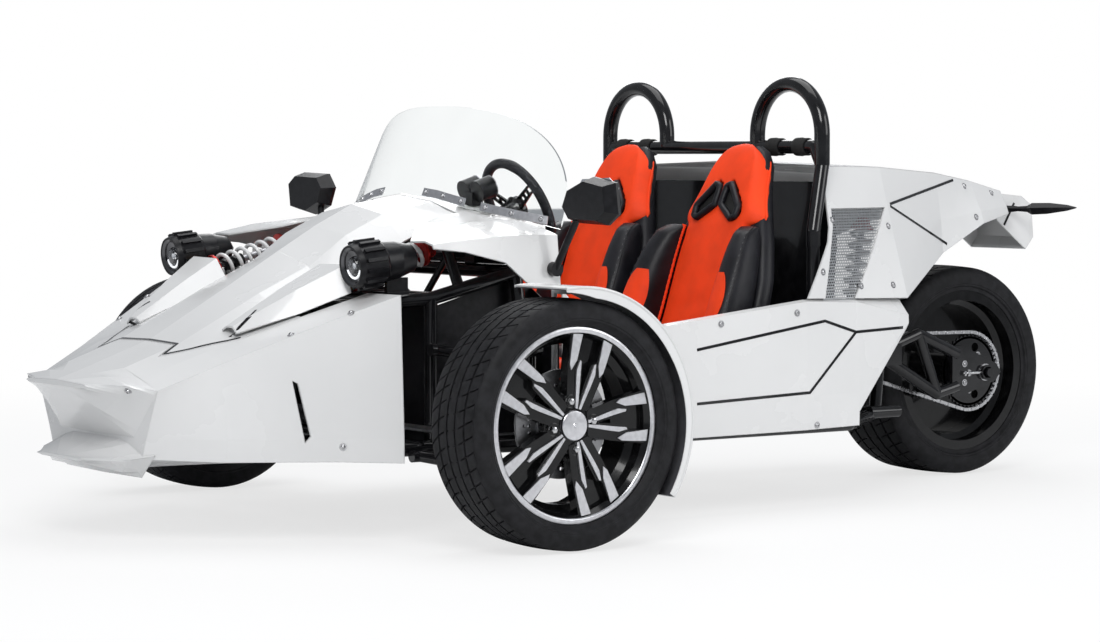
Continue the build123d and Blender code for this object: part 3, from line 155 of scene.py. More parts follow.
SATIN_STEEL = material("satin_steel", (0.42, 0.42, 0.44), 0.32, metal=1.0, vary=0.12, scale=80, bump=0.15)
ZINC = material("zinc_fastener", (0.5, 0.5, 0.51), 0.24, metal=1.0, vary=0.12, scale=300, bump=0.1)
CAST = material("cast_alloy", (0.1, 0.1, 0.105), 0.5, metal=0.8, vary=0.25, scale=60, bump=0.7,
                bump_scale=350)
SHEET = material("alloy_sheet", (0.24, 0.24, 0.25), 0.45, metal=0.9, vary=0.12, scale=40, bump=0.2,
                 stretch=(1, 8, 1))
MESH_METAL = material("perforated_sheet", (0.55, 0.56, 0.57), 0.3, metal=1.0, vary=0.08, scale=80, bump=0.1)
ORANGE = material("orange_cover", (0.93, 0.06, 0.008), 0.6, vary=0.07, scale=14, bump=0.3, bump_scale=800,
                  grain="leather", ior=1.32)
BLACK_HIDE = material("black_cover", (0.007, 0.007, 0.01), 0.38, ior=1.35, vary=0.25, scale=20, bump=0.4,
                      bump_scale=700, grain="leather")
THREAD = material("seam_thread", (0.09, 0.09, 0.095), 0.7, vary=0.3, scale=300, bump=0.5)
WEBBING = material("black_webbing", (0.01, 0.01, 0.01), 0.85, vary=0.4, scale=90, bump=1.0, bump_scale=900)
SPRING_WHITE = material("white_spring", (0.72, 0.72, 0.72), 0.3, vary=0.06, scale=90, bump=0.1, coat=0.4)
RED_ANODISED = material("red_anodised", (0.45, 0.015, 0.01), 0.28, metal=0.7, vary=0.15, scale=120, bump=0.1)
GOLD_ANODISED = material("gold_anodised", (0.6, 0.33, 0.06), 0.28, metal=0.9, vary=0.15, scale=120, bump=0.1)
SCREEN = material("clear_screen", (0.93, 0.95, 0.95), 0.03, vary=0.01, scale=8, transmission=1.0, ior=1.12)
LENS = material("lamp_lens", (0.9, 0.92, 0.95), 0.02, vary=0.02, scale=20, transmission=1.0, ior=1.45)
REFLECTOR = material("lamp_reflector", (0.12, 0.12, 0.125), 0.16, metal=1.0, vary=0.05, scale=60)
GLASS_MIRROR = material("mirror_glass", (0.75, 0.77, 0.8), 0.03, metal=1.0, vary=0.02, scale=15)
# Painted highlight: the crescent glows to stand in for light caught in the lamp glass.
GLOWING_HIGHLIGHT = material("lamp_painted_highlight", (0.9, 0.92, 0.95), 0.3, vary=0.02, scale=60, emission=0.6)
RED_LENS = material("red_lens", (0.4, 0.01, 0.01), 0.12, vary=0.15, scale=60, coat=0.6, bump=0.3,
                    bump_scale=200)
AMBER_LENS = material("amber_lens", (0.7, 0.22, 0.02), 0.15, vary=0.15, scale=60, coat=0.6, bump=0.3)
DIAL = material("dial_face", (0.03, 0.03, 0.035), 0.3, vary=0.3, scale=200, coat=0.9)
DIAL_MARK = material("dial_marks", (0.7, 0.7, 0.7), 0.5, vary=0.05, scale=200)
# Painted shade: a near-black sheet set behind the seat's holes stands in for the shadow seen through them.
HOLE_SHADE = material("painted_shade_opening", (0.006, 0.006, 0.006), 0.8, vary=0.4, scale=60, bump=0.3)

CAD_MATERIALS = {
    WHITE: ["nose_shell", "bonnet", "cowl", "side_panel_left", "side_panel_right", "rear_quarter_left",
            "rear_quarter_right", "rear_deck", "tail_panel", "front_fender_left", "front_fender_right"],
    BLACK_PAINT: ["floor_frame", "front_frame", "rear_frame", "front_wishbones", "roll_hoops", "swingarm",
                  "steering_column", "rear_bulkhead"],
    BLACK_PLASTIC: ["dashboard", "instrument_pod", "headlamps", "mirrors", "rear_indicators"],
    BLACK_ALLOY: ["rear_rim"],
    DISC: ["front_disc_left", "front_disc_right", "rear_disc"],
    CAST: ["front_knuckle_left", "front_knuckle_right", "engine_block", "steering_rack_housing"],
    SATIN_STEEL: ["steering_rack_and_tie_rods", "exhaust"],
    SHEET: ["floor_pan"],
    SCREEN: ["windshield"],
    RED_LENS: ["tail_lamp"],
}


def dress(name, surface):
    nodes[name].data.materials.clear()
    nodes[name].data.materials.append(surface)


for surface, names in CAD_MATERIALS.items():
    for name in names:
        dress(name, surface)


# Mesh helpers

def around(a):
    """The unit vector at angle a in the upright plane along the car."""
    return X * cos(a) + Z * sin(a)


def front_hub(side):
    return Vector((FRONT_AXLE, side * HALF_TRACK, FRONT_R))


def mm(pairs):
    return [(a / 1000, b / 1000) for a, b in pairs]


def sides_of(axis):
    """Two unit vectors square to axis."""
    u = axis.cross(Z if abs(axis.z) < 0.9 else X).normalized()
    return u, axis.cross(u).normalized()


def joined(rows, count, closed=True):
    """Faces between neighbouring rings of count points."""
    faces = []
    for k in range(rows if closed else rows - 1):
        n = (k + 1) % rows
        for i in range(count):
            j = (i + 1) % count
            faces.append((k * count + i, k * count + j, n * count + j, n * count + i))
    return faces


def revolved(profile, centre, axis, segments=64):
    """A closed ring about the axis from points (distance along it, radius), in mm."""
    u, v = sides_of(axis)
    verts = []
    for k in range(segments):
        a = 2 * pi * k / segments
        for along, radius in profile:
            verts.append(centre + axis * (along / 1000) + (u * cos(a) + v * sin(a)) * (radius / 1000))
    return verts, joined(segments, len(profile))


def swept(points, radius, sides=10, closed=False):
    """A round tube along the points."""
    rings, count = [], len(points)
    up = None
    for i, p in enumerate(points):
        before = points[i - 1] if i or closed else p
        after = points[(i + 1) % count] if i < count - 1 or closed else p
        along = (after - before).normalized()
        up = sides_of(along)[0] if up is None else (up - along * up.dot(along)).normalized()
        side = along.cross(up)
        r = radius(i / max(1, count - 1)) if callable(radius) else radius
        rings.append([p + (up * cos(2 * pi * k / sides) + side * sin(2 * pi * k / sides)) * r
                      for k in range(sides)])
    return lofted(rings, closed)


def lofted(rings, closed=False):
    """Rings of equal length joined in order, with flat ends where it isn't closed."""
    size = len(rings[0])
    verts = [p for ring in rings for p in ring]
    faces = joined(len(rings), size, closed)
    if not closed:
        faces.append(tuple(reversed(range(size))))
        faces.append(tuple((len(rings) - 1) * size + k for k in range(size)))
    return verts, faces


def extruded(outline, origin, u, v, depth):
    """A flat outline (u, v) pushed out along u x v by depth."""
    n = u.cross(v)
    low = [origin + u * a + v * b for a, b in outline]
    return lofted([low, [p + n * depth for p in low]])


class Shape:
    """Mesh parts collected into one piece."""

    def __init__(self):
        self.verts, self.faces, self.slots = [], [], []

    def add(self, part, slot=0):
        verts, faces = part
        base = len(self.verts)
        self.verts += [tuple(p) for p in verts]
        self.faces += [tuple(base + i for i in face) for face in faces]
        self.slots += [slot] * len(faces)
        return self

    def piece(self, name, body, surfaces, slot=None, angle=35, subdivide=0):
        mesh = bpy.data.meshes.new(name)
        mesh.from_pydata(self.verts, [], self.faces)
        for surface in surfaces:
            mesh.materials.append(surface)
        for face, index in zip(mesh.polygons, self.slots):
            face.material_index = index
        work = bmesh.new()
        work.from_mesh(mesh)
        bmesh.ops.remove_doubles(work, verts=work.verts, dist=1e-6)
        bmesh.ops.recalc_face_normals(work, faces=work.faces)
        work.to_mesh(mesh)
        work.free()
        mesh.polygons.foreach_set("use_smooth", [True] * len(mesh.polygons))
        mesh.set_sharp_from_angle(angle=radians(angle))
        made = bpy.data.objects.new(name, mesh)
        bpy.context.scene.collection.objects.link(made)
        if subdivide:
            made.modifiers.new("smooth", "SUBSURF").levels = subdivide
            made.modifiers["smooth"].render_levels = subdivide
        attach(made, body)
        return made


# Places on the CAD surfaces

trees = {}


def cast(names, start, direction):
    """Where a ray first meets one of the CAD nodes, with the normal that faces the ray."""
    best = None
    for name in names:
        if name not in trees:
            mesh = nodes[name].data
            trees[name] = BVHTree.FromPolygons([v.co for v in mesh.vertices],
                                               [p.vertices for p in mesh.polygons])
        point, normal, _, distance = trees[name].ray_cast(start, direction)
        if point and (best is None or distance < best[2]):
            best = (point, normal if normal.dot(direction) < 0 else -normal, distance)
    return best[:2] if best else None


def seen(px, py, names):
    """Where the photograph's pixel meets the CAD nodes."""
    ray = Vector(((px - PHOTO[0] / 2) / FOCAL_PX, -(py - PHOTO[1] / 2) / FOCAL_PX, -1))
    ray.rotate(Euler(camera.rotation_euler))
    return cast(names, Vector(camera.location), ray.normalized())


def mirrored(v):
    return Vector((v.x, -v.y, v.z))


SCREW = [(-0.3, 0), (-0.3, 1.5), (0.22, 1.5), (0.22, 1.0), (0.55, 0.96), (0.85, 0.7), (0.95, 0.45),
         (0.5, 0.42), (0.5, 0)]


def screw(point, normal, radius):
    """A button head with a socket, on a washer; the radius is in mm."""
    return revolved([(a * radius, r * radius) for a, r in SCREW], point, normal.normalized(), 16)


REACH = 0.02  # how far above the surface the search for an edge starts
STRAY = 0.008  # an edge found farther off is on another surface
BURIED = 0.0008


def ribbon(samples, width, proud, names):
    """A thin band through sampled surface points; each edge is found on the surface again."""
    rings = []
    for i, (point, normal) in enumerate(samples):
        before = samples[max(0, i - 1)][0]
        after = samples[min(len(samples) - 1, i + 1)][0]
        across = (after - before).cross(normal).normalized()
        ring = []
        for sign in (-1, 1):
            edge, lift = point + across * sign * width / 2, normal
            found = cast(names, edge + normal * REACH, -normal)
            if found and (found[0] - edge).length < STRAY:
                edge, lift = found
            ring.append((edge, lift))
        (a, na), (b, nb) = ring
        rings.append([a + na * proud, b + nb * proud, b - nb * BURIED, a - na * BURIED])
    return lofted(rings)


# Pinstripes

STRIPE = 0.0075
STRIPE_PROUD = 0.0007
CLOSE, FAR = 0.002, 0.05  # nearer samples are dropped, farther ones start a new run
BODY_NODES = ["nose_shell", "bonnet", "cowl", "side_panel_left", "rear_quarter_left", "rear_deck",
              "tail_panel"]
FRONT_NODES = ["nose_shell", "bonnet", "cowl"]
LINES = [
    # pixels of the photograph along each line, and the nodes that carry it
    ([(230, 337), (256, 310)], FRONT_NODES),
    ([(697, 350), (825, 321), (856, 332), (907, 327)], ["side_panel_left"]),
    ([(856, 332), (810, 392.6), (697, 404)], ["side_panel_left"]),
    ([(890, 204), (953, 180)], ["rear_quarter_left", "rear_deck"]),
    ([(890, 206), (947, 244)], ["rear_quarter_left"]),
    ([(1014, 203), (1004, 225)], ["rear_quarter_left", "tail_panel"]),
]
BONNET_LINE = [(-626, 0), (-626, 148), (-677, 173), (-533, 295.5)]  # d, y


def stepped(ends, step, least):
    """Points about a step apart along the lines through the ends."""
    for (x0, y0), (x1, y1) in zip(ends, ends[1:]):
        steps = max(least, int(hypot(x1 - x0, y1 - y0) / step))
        for k in range(steps + 1):
            yield x0 + (x1 - x0) * k / steps, y0 + (y1 - y0) * k / steps


stripes = Shape()
for side in SIDES.values():
    samples = []
    for d, y in stepped(BONNET_LINE, 6, 1):
        hit = cast(["bonnet"], at(d, side * y, 1000), -Z)
        if hit and hit[1].z > 0.3 and (not samples or (hit[0] - samples[-1][0]).length > CLOSE):
            samples.append(hit)
    stripes.add(ribbon(samples, STRIPE, STRIPE_PROUD, ["bonnet"]))
for pixels, names in LINES:
    runs = [[]]
    for px, py in stepped(pixels, 4, 2):
        hit = seen(px, py, names)
        gap = (hit[0] - runs[-1][-1][0]).length if hit and runs[-1] else 0.0
        if not hit or gap > FAR:
            runs.append([])
        if hit and (not runs[-1] or gap > CLOSE):
            runs[-1].append(hit)
    for samples in runs:
        if len(samples) > 2:
            band = ribbon(samples, STRIPE, STRIPE_PROUD, names)
            stripes.add(band)
            stripes.add(([mirrored(v) for v in band[0]], band[1]))
stripes.piece("pinstripes", "chassis", [BLACK_PAINT], "black_trim")

# Screws of the body panels, placed where the photograph shows them and mirrored

SCREWS = [(128, 391), (27, 378), (77, 468), (141, 479), (291, 335), (351, 313), (343, 447), (721, 324),
          (797, 313), (832, 220), (888, 226), (823, 272), (861, 286), (893, 285), (964, 186), (991, 193),
          (976, 217), (817, 425), (891, 167), (947, 169), (800, 192), (825, 243)]
screws = Shape()
for px, py in SCREWS:
    hit = seen(px, py, BODY_NODES)
    if hit:
        screws.add(screw(hit[0], hit[1], 6.2))
        screws.add(screw(mirrored(hit[0]), mirrored(hit[1]), 6.2))
screws.piece("panel_screws", "chassis", [ZINC], "steel")


# Tyres with grooves and sipes

ACROSS_TREAD = [
    # share of the tread's half width, groove (1) or not, how deep a sipe cuts here (0 to 1)
    (0, 0, 0), (0.1, 0, 0), (0.155, 0, 0.9), (0.16, 1, 0), (0.225, 1, 0), (0.23, 0, 0), (0.34, 0, 0.1),
    (0.42, 0, 1), (0.575, 0, 1), (0.58, 1, 0), (0.655, 1, 0), (0.66, 0, 0.2), (0.7, 0, 1), (0.86, 0, 1),
    (1, 0, 1),
]
ROUND_BLOCK = [(0, 0), (0.03, 1), (0.1, 1), (0.13, 0), (0.42, 0), (0.72, 0)]


TREAD_CROWN = 0.0035
GROOVE_DEPTH = 0.0068
SIPE_DEPTH = 0.0052
SHOULDER = 0.66  # share of the half width beyond which the sipes lean


def tyre(radius, half, bead, blocks, slant):
    """A tyre with four grooves round it and hooked sipes across its ribs and shoulders."""
    side = [(bead, 0.2165), (bead + 0.0012, 0.2336), (bead + 0.0105, 0.2336), (half - 0.009, 0.2440),
            (half - 0.0035, 0.2475), (half - 0.0030, 0.2520), (half - 0.0008, 0.2540),
            (half, radius - 0.036), (half - 0.0015, radius - 0.022), (half - 0.006, radius - 0.013),
            (half - 0.012, radius - 0.0065)]
    tread = half - 0.017
    across = [(-t, groove, cut) for t, groove, cut in reversed(ACROSS_TREAD[1:])] + ACROSS_TREAD
    stations = [(-a, r, 0, 0.0) for a, r in side]
    stations += [(t * tread, radius - TREAD_CROWN * t * t - GROOVE_DEPTH * groove, cut, t)
                 for t, groove, cut in across]
    stations += [(a, r, 0, 0.0) for a, r in reversed(side)]
    verts = []
    rows = blocks * len(ROUND_BLOCK)
    for row in range(rows):
        block, (part, sunk) = row // len(ROUND_BLOCK), ROUND_BLOCK[row % len(ROUND_BLOCK)]
        for off, r, cut, t in stations:
            hook = slant * (abs(t) ** 1.6) * (1 if t > 0 else -1) + 0.35 * max(0.0, abs(t) - SHOULDER)
            a = 2 * pi * (block + part + hook) / blocks
            depth = SIPE_DEPTH * cut * sunk
            verts.append((off, (r - depth) * cos(a), (r - depth) * sin(a)))
    return verts, joined(rows, len(stations))


def place_tyre(name, centre, body, node, *sizes):
    verts, faces = tyre(*sizes)
    moved = [centre + Vector((c, off, s)) for off, c, s in verts]
    made = Shape().add((moved, faces)).piece(name, body, [RUBBER], "tyre_rubber", angle=28)
    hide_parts(node)


for label, side in SIDES.items():
    place_tyre(f"tread_{label}", front_hub(side), f"wheel_front_{label}", f"front_tyre_{label}", FRONT_R,
               0.1025, 0.0737, 50, 0.9)
place_tyre("tread_rear", Vector((REAR_AXLE, 0, REAR_R)), "rear_wheel", "rear_tyre", REAR_R, 0.1275, 0.1077,
           46, 0.9)

# Front wheels: forked spokes, black with machined faces

BARREL = [(-82, 206), (-82, 229), (-74, 229), (-74, 216), (-42, 216), (-30, 200), (30, 200), (42, 216),
          (74, 216), (74, 229), (79, 230), (79, 219), (72, 213), (66, 208), (38, 206), (26, 190), (-26, 190),
          (-38, 206)]
LIP = [(79.2, 218), (81.4, 220), (82, 222), (82, 230), (80.6, 232.6), (78.4, 232.8), (78.6, 229),
       (78.6, 219)]
ARM = [(40, 0), (40, 31), (112, 48), (211, 64), (211, 31), (158, 28), (147, 13), (104, 5)]
BLADE = [(219, 31), (218, 59), (170, 54), (136, 49.5), (124, 42), (150, 32)]
FORK = [(40, 1.5), (40, 8), (72, 15.5), (104, 23), (128, 27.5), (152, 24), (150, 19), (126, 15.5), (60, 4)]
SLOT_FLOOR = [(120, -28), (209, -33), (209, 33), (120, 28)]
SPOKES = 5
SPOKE_TURN = 75
LUGS = 4

for label, side in SIDES.items():
    hub = front_hub(side)
    out = Y * side
    wheel = Shape()
    wheel.add(revolved(BARREL, hub, out, 96))
    wheel.add(revolved(LIP, hub, out, 120), 1)
    for k in range(SPOKES):
        angle = radians(SPOKE_TURN + k * 360 / SPOKES)
        u = around(angle)
        v = out.cross(u)
        for outline, low, high, slot in ((ARM, 42, 71, 0), (BLADE, 70, 74.5, 1), (FORK, 70, 75.5, 1)):
            for sign in (1, -1):
                flat = mm([(a, sign * b) for a, b in outline])
                wheel.add(extruded(flat, hub + out * low / 1000, u, v, (high - low) / 1000), slot)
        wheel.add(extruded(mm(SLOT_FLOOR), hub + out * 0.044, u, v, 0.008))
    wheel.add(revolved([(38, 0), (38, 78), (58, 76), (66, 68), (68, 40), (68, 0)], hub, out, 72))
    for k in range(LUGS):
        angle = radians(98 + 90 * k)
        spot = hub + around(angle) * 0.057
        wheel.add(revolved([(60, 12.5), (70.5, 12.5), (71.5, 15), (70.5, 17.5), (60, 17.5)],
                           spot, out, 24))
        wheel.add(revolved([(62, 0), (62, 9), (74.5, 9), (76.5, 7.8), (77.5, 5),
                            (77.5, 0)], spot, out, 6), 2)
    cap = [(66, 0), (66, 36), (76.5, 35.5), (78, 34), (78.5, 31), (79, 6),
           (80.5, 4.5), (80.5, 3), (79, 0)]
    wheel.add(revolved(cap, hub, out, 64), 1)
    made = wheel.piece(f"wheel_{label}", f"wheel_front_{label}", [BLACK_ALLOY, MACHINED, ZINC], "alloy")
    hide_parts(f"front_rim_{label}")
    vents = Shape()
    for k in range(36):
        angle = 2 * pi * k / 36
        spot = hub + out * 0.0235 + around(angle) * 0.094
        vents.add(revolved([(-1, 0), (-1, 4.5), (0, 4.5), (0.4, 3), (0.4, 0)], spot, out, 10))
    vents.piece(f"disc_rivets_{label}", f"wheel_front_{label}", [ZINC], "disc_steel")

# Dark sheet inside each front mudguard, painted shade over the mudguard's white underside, and its rolled
# edge

GUARD_R = 0.324
GUARD_FROM, GUARD_SWEEP = -34, 132  # degrees
for label, side in SIDES.items():
    hub = front_hub(side)
    shade_sheet, edges = Shape(), Shape()
    arc = [radians(GUARD_FROM + GUARD_SWEEP * k / 48) for k in range(49)]
    rings = []
    for a in arc:
        ray = around(a)
        rings.append([hub + ray * (GUARD_R - dr) + Y * dy for dr, dy in
                      ((0.0004, -0.104), (0.0004, 0.104), (0.0022, 0.104), (0.0022, -0.104))])
    shade_sheet.add(lofted(rings))
    shade_sheet.piece(f"guard_shade_sheet_{label}", f"knuckle_{label}", [FENDER_SHADE], "white_body")
    for dy in (-0.106, 0.106):
        edges.add(swept([hub + around(a) * (GUARD_R + 0.001) + Y * dy for a in arc], 0.0034, 8))
    rings = []
    for k in range(61):
        a = radians(GUARD_FROM + GUARD_SWEEP * k / 60)
        drop = (0.014 + 0.009 * min(1, k / 30)) * min(1.0, 0.3 + 0.7 * (60 - k) / 7)
        ray = around(a)
        rings.append([hub + ray * r + Y * side * y for r, y in
                      ((GUARD_R + 0.003, 0.1052), (GUARD_R + 0.003, 0.1072), (GUARD_R - drop, 0.1072),
                       (GUARD_R - drop, 0.1052))])
    edges.add(lofted(rings))
    edges.piece(f"guard_edge_{label}", f"knuckle_{label}", [WHITE], "white_body")


# Coil springs, dampers and their adjusters

def helix(a, b, radius, turns, steps=22):
    along = (b - a)
    u, v = sides_of(along.normalized())
    count = int(turns * steps)
    return [a + along * k / count + (u * cos(2 * pi * k / steps) + v * sin(2 * pi * k / steps)) * radius
            for k in range(count + 1)]


COIL_R = 0.029
COIL_TURNS = 6.5
WIRE_R = 0.0052


def coilover(shape, a, b, size=1.0):
    """Eyes, black body, polished rod, white spring, red and gold collars."""
    along = (b - a).normalized()
    length = (b - a).length
    low, high = a + along * 0.07 * size, b - along * 0.055 * size
    shape.add(swept([a, a + along * (length - 0.02)], 0.009 * size, 16), 2)
    shape.add(swept([a + along * 0.02, a + along * 0.16 * size], 0.0165 * size, 24))
    shape.add(revolved([(0, 15), (0, 36), (4, 37), (8, 36), (8, 15)], low, along, 40), 3)
    shape.add(revolved([(-22, 18), (-22, 29), (-4, 32), (-4, 18)], low, along, 40), 4)
    shape.add(revolved([(0, 10), (0, 34), (6, 34), (20, 22), (34, 17), (34, 10)],
                       high, along, 40), 3)
    shape.add(swept(helix(low + along * 0.011, high - along * 0.003, COIL_R * size, COIL_TURNS), WIRE_R, 10),
              1)
    for end in (a, b):
        shape.add(revolved([(-13, 6), (-13, 14.5), (13, 14.5), (13, 6)], end, Y, 24), 2)


SHOCK_SURFACES = [BLACK_PAINT, SPRING_WHITE, SATIN_STEEL, RED_ANODISED, GOLD_ANODISED]
springs = Shape()
for side in SIDES.values():
    coilover(springs, at(-322, 350 * side, 614), at(0, 350 * side, 704))
made = springs.piece("front_springs", "chassis", SHOCK_SURFACES, "steel")
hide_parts("front_coilovers")
rear_spring = Shape()
coilover(rear_spring, at(1630, 0, 418), at(1690, 0, 772))
made = rear_spring.piece("rear_spring", "chassis", SHOCK_SURFACES, "steel")
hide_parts("rear_shock")


# Seats

SEAT_Y = 262
SEAT_ROWS = [
    # d, z of the pad's middle, half width of the insert, outer half width, height of the bolster
    (436, 330, 146, 190, 6), (438, 362, 148, 196, 14), (456, 388, 149, 204, 26), (520, 386, 150, 210, 36),
    (620, 376, 150, 216, 44), (720, 364, 149, 222, 54), (772, 362, 147, 226, 66), (806, 376, 145, 230, 78),
    (832, 412, 143, 233, 86), (852, 462, 141, 235, 90), (872, 522, 139, 235, 88), (892, 590, 137, 230, 80),
    (912, 660, 133, 216, 66), (928, 712, 128, 200, 48), (938, 742, 124, 190, 34),
]
HEAD_ROWS = [
    # d, z, half width of the orange head
    (944, 760, 150), (951, 778, 163), (960, 802, 152), (972, 832, 138), (984, 862, 127), (998, 892, 118),
    (1012, 918, 106), (1024, 938, 90), (1036, 952, 66), (1048, 958, 36),
]
SHELL = [
    # z, front d, back d, half width
    (243, 470, 880, 176), (262, 452, 904, 186), (330, 446, 918, 196), (352, 452, 925, 200),
    (372, 700, 930, 212), (420, 850, 942, 226), (500, 880, 964, 228), (600, 910, 988, 222),
    (700, 936, 1012, 192), (760, 958, 1028, 164), (830, 984, 1050, 130), (900, 1014, 1072, 108),
    (940, 1036, 1074, 80), (956, 1046, 1066, 52),
]
PATCH_ROWS = (41, 56)
HOLE = [(13, 800), (15, 848), (32, 855), (90, 796), (88, 770), (72, 764)]


def inside(y, z, outline, grow):
    """Whether (y, z) is inside the convex outline grown by that much."""
    for (a, b), (c, d) in zip(outline, outline[1:] + outline[:1]):
        if ((c - a) * (z - b) - (d - b) * (y - a)) / hypot(c - a, d - b) > grow:
            return False
    return True


def smooth_rows(rows, between):
    """More rows, on a smooth curve through the given ones."""
    made = []
    for i in range(len(rows) - 1):
        four = [rows[max(0, i - 1)], rows[i], rows[i + 1], rows[min(len(rows) - 1, i + 2)]]
        for k in range(between):
            t = k / between
            made.append(tuple(0.5 * (2 * b + (c - a) * t + (2 * a - 5 * b + 4 * c - d) * t * t
                                     + (3 * b - a - 3 * c + d) * t ** 3) for a, b, c, d in zip(*four)))
    return made + [rows[-1]]


body_rows = smooth_rows(SEAT_ROWS, 5)
head_rows = smooth_rows([(d, z, w) for d, z, w, _, _ in SEAT_ROWS[-2:]] + HEAD_ROWS, 5)[5:]
ACROSS = 44  # columns of the cover
PAD = 16  # thickness of the cover


def along_path(rows, i):
    """The unit vector out of the pad at row i."""
    d0, z0 = rows[max(0, i - 1)][:2]
    d1, z1 = rows[min(len(rows) - 1, i + 1)][:2]
    length = hypot(d1 - d0, z1 - z0)
    return (-(z1 - z0) / length, (d1 - d0) / length)


def on_bolster(seat, i, a, grow=0.0):
    """The bolster's surface at row i (a fraction is allowed) and angle a; 0 is outward, 90 the front."""
    middle, edge = seat
    low_row = min(int(i), len(body_rows) - 2)
    part = i - low_row
    d, z, w, wo, h = (p + (q - p) * part for p, q in zip(body_rows[low_row], body_rows[low_row + 1]))
    nd, nz = along_path(body_rows, low_row)
    ends = min(1.0, 0.25 + i / 5, 0.35 + (len(body_rows) - 1 - i) / 7)
    c, q = cos(a), sin(a)
    across = (w + wo) / 2 - 2 + ((wo - w) / 2 * 1.06 + grow) * c * (abs(c) + 1e-9) ** -0.25
    up = (h + 26) / 2 - 26 + ((h + 26) / 2 * ends + grow) * q * (abs(q) + 1e-9) ** -0.2 - (1 - ends) * 6
    across += 8 * max(0, up / max(h, 1)) * ends
    return at(d + nd * up, middle + edge * across, z + nz * up)


for label, side in SIDES.items():
    middle = SEAT_Y * side
    full = [(d, z, w) for d, z, w, _, _ in body_rows] + head_rows[1:]
    grid, under = [], []
    for i, (d, z, w) in enumerate(full):
        nd, nz = along_path(full, i)
        top, back = [], []
        head = max(0.0, min(1.0, (z - 745) / 30)) if d > 900 else 0.0
        for k in range(ACROSS + 1):
            t = -1 + 2 * k / ACROSS
            crown = 9 * (1 - t * t) * (0.6 + 0.4 * (1 - head))
            crown -= head * 34 * max(0.0, abs(t) - 0.72) ** 2 / 0.0784
            fold = 0.0
            if d > 800:
                low_back = max(0.0, 1 - abs(z - 520) / 160)
                fold += 1.1 * sin(z / 11 + 2.2 * t) * low_back * (1 - abs(t)) ** 0.5
                fold += 1.6 * sin((z - 700) / 7.5 + 4 * abs(t)) * max(0.0,
                                                                      1 - abs(z - 735) / 45) * abs(t) ** 2
            lift = crown + fold - 7 * max(0.0, abs(t) - 0.9) / 0.1 * (1 - head)
            top.append(at(d + nd * lift, middle + t * w, z + nz * lift))
            sunk = PAD - min(0, lift)
            back.append(at(d - nd * sunk, middle + t * w * 0.985, z - nz * sunk))
        grid.append(top)
        under.append(back)
    cover = Shape()
    count = ACROSS + 1
    verts = [p for row in grid for p in row] + [p for row in under for p in row]
    shift = len(grid) * count
    faces, gone = [], set()
    for i in range(len(grid) - 1):
        for k in range(ACROSS):
            d, z, w = full[i]
            y = (-1 + (2 * k + 1) / ACROSS) * w
            if d > 900 and (inside(y, z, HOLE, 4) or inside(-y, z, HOLE, 4)):
                gone.add((i, k))
                continue
            quad = (i * count + k, i * count + k + 1, (i + 1) * count + k + 1, (i + 1) * count + k)
            faces.append(quad)
            faces.append(tuple(shift + q for q in reversed(quad)))
    filled = {(i, k) for i in range(len(grid) - 1) for k in range(ACROSS)} - gone
    for i, k in filled:
        for (di, dk), (a, b) in (((0, -1), ((i, k), (i + 1, k))), ((0, 1), ((i + 1, k + 1), (i, k + 1))),
                                 ((-1, 0), ((i, k + 1), (i, k))), ((1, 0), ((i + 1, k), (i + 1, k + 1)))):
            if (i + di, k + dk) not in filled:
                p, q = a[0] * count + a[1], b[0] * count + b[1]
                faces.append((p, q, shift + q, shift + p))
    cover.add((verts, faces))
    insert = cover.piece(f"seat_cover_{label}", "chassis", [ORANGE], "seat_trim", angle=60, subdivide=1)

    # Bolsters, an orange patch set in the front of each, and pleated piping along the insert
    bolsters, patches, piping = Shape(), Shape(), Shape()
    for edge in (-1, 1):
        seat = (middle, edge)
        rings = [[on_bolster(seat, i, 2 * pi * k / 24) for k in range(24)] for i in range(len(body_rows))]
        bolsters.add(lofted(rings))
        rings = []
        for k in range(25):
            t = k / 24
            i = PATCH_ROWS[0] + (PATCH_ROWS[1] - PATCH_ROWS[0]) * t
            wide = sin(pi * min(1.0, 0.06 + t * 0.86) ** 1.35) ** 0.75
            low_a, high_a = radians(108 - 44 * wide), radians(112 + 42 * wide)
            arc = [low_a + (high_a - low_a) * m / 8 for m in range(9)]
            rings.append([on_bolster(seat, i, a, 1.6) for a in arc]
                         + [on_bolster(seat, i, a, -1.0) for a in reversed(arc)])
        patches.add(lofted(rings))
        seam = [on_bolster(seat, 1 + (len(body_rows) - 3) * k / 90, radians(42), 0.6) for k in range(91)]
        piping.add(swept(seam, 0.0016, 6), 1)
        for k in range(46):
            stitch = [on_bolster(seat, start + (len(body_rows) - 5) * k / 45, radians(50), 0.9)
                      for start in (2, 2.45)]
            piping.add(swept(stitch, 0.0008, 5), 2)
        seam = []
        fine = smooth_rows(SEAT_ROWS, 14)
        for i, (d, z, w, _, _) in enumerate(fine):
            nd, nz = along_path(fine, i)
            seam.append(at(d + nd * 5, middle + edge * (w + 2), z + nz * 5))
        piping.add(swept(seam, lambda t: 0.0062 + 0.0007 * sin(t * 2 * pi * 68), 10))
    head_seam = []
    for i, (d, z, w) in enumerate(head_rows):
        nd, nz = along_path(head_rows, i)
        head_seam.append(at(d - nd * 37, middle - w * 0.99, z - nz * 37))
    head_seam += [Vector((p.x, 2 * middle / 1000 - p.y, p.z)) for p in reversed(head_seam)]
    piping.add(swept(head_seam, 0.0034, 8))
    bolster = bolsters.piece(f"seat_bolsters_{label}", "chassis", [BLACK_HIDE], "seat_trim", angle=60,
                             subdivide=1)
    patches.piece(f"seat_patches_{label}", "chassis", [ORANGE], "seat_trim", angle=60)
    piping.piece(f"seat_piping_{label}", "chassis", [ORANGE, BLACK_HIDE, THREAD], "seat_trim", angle=60)

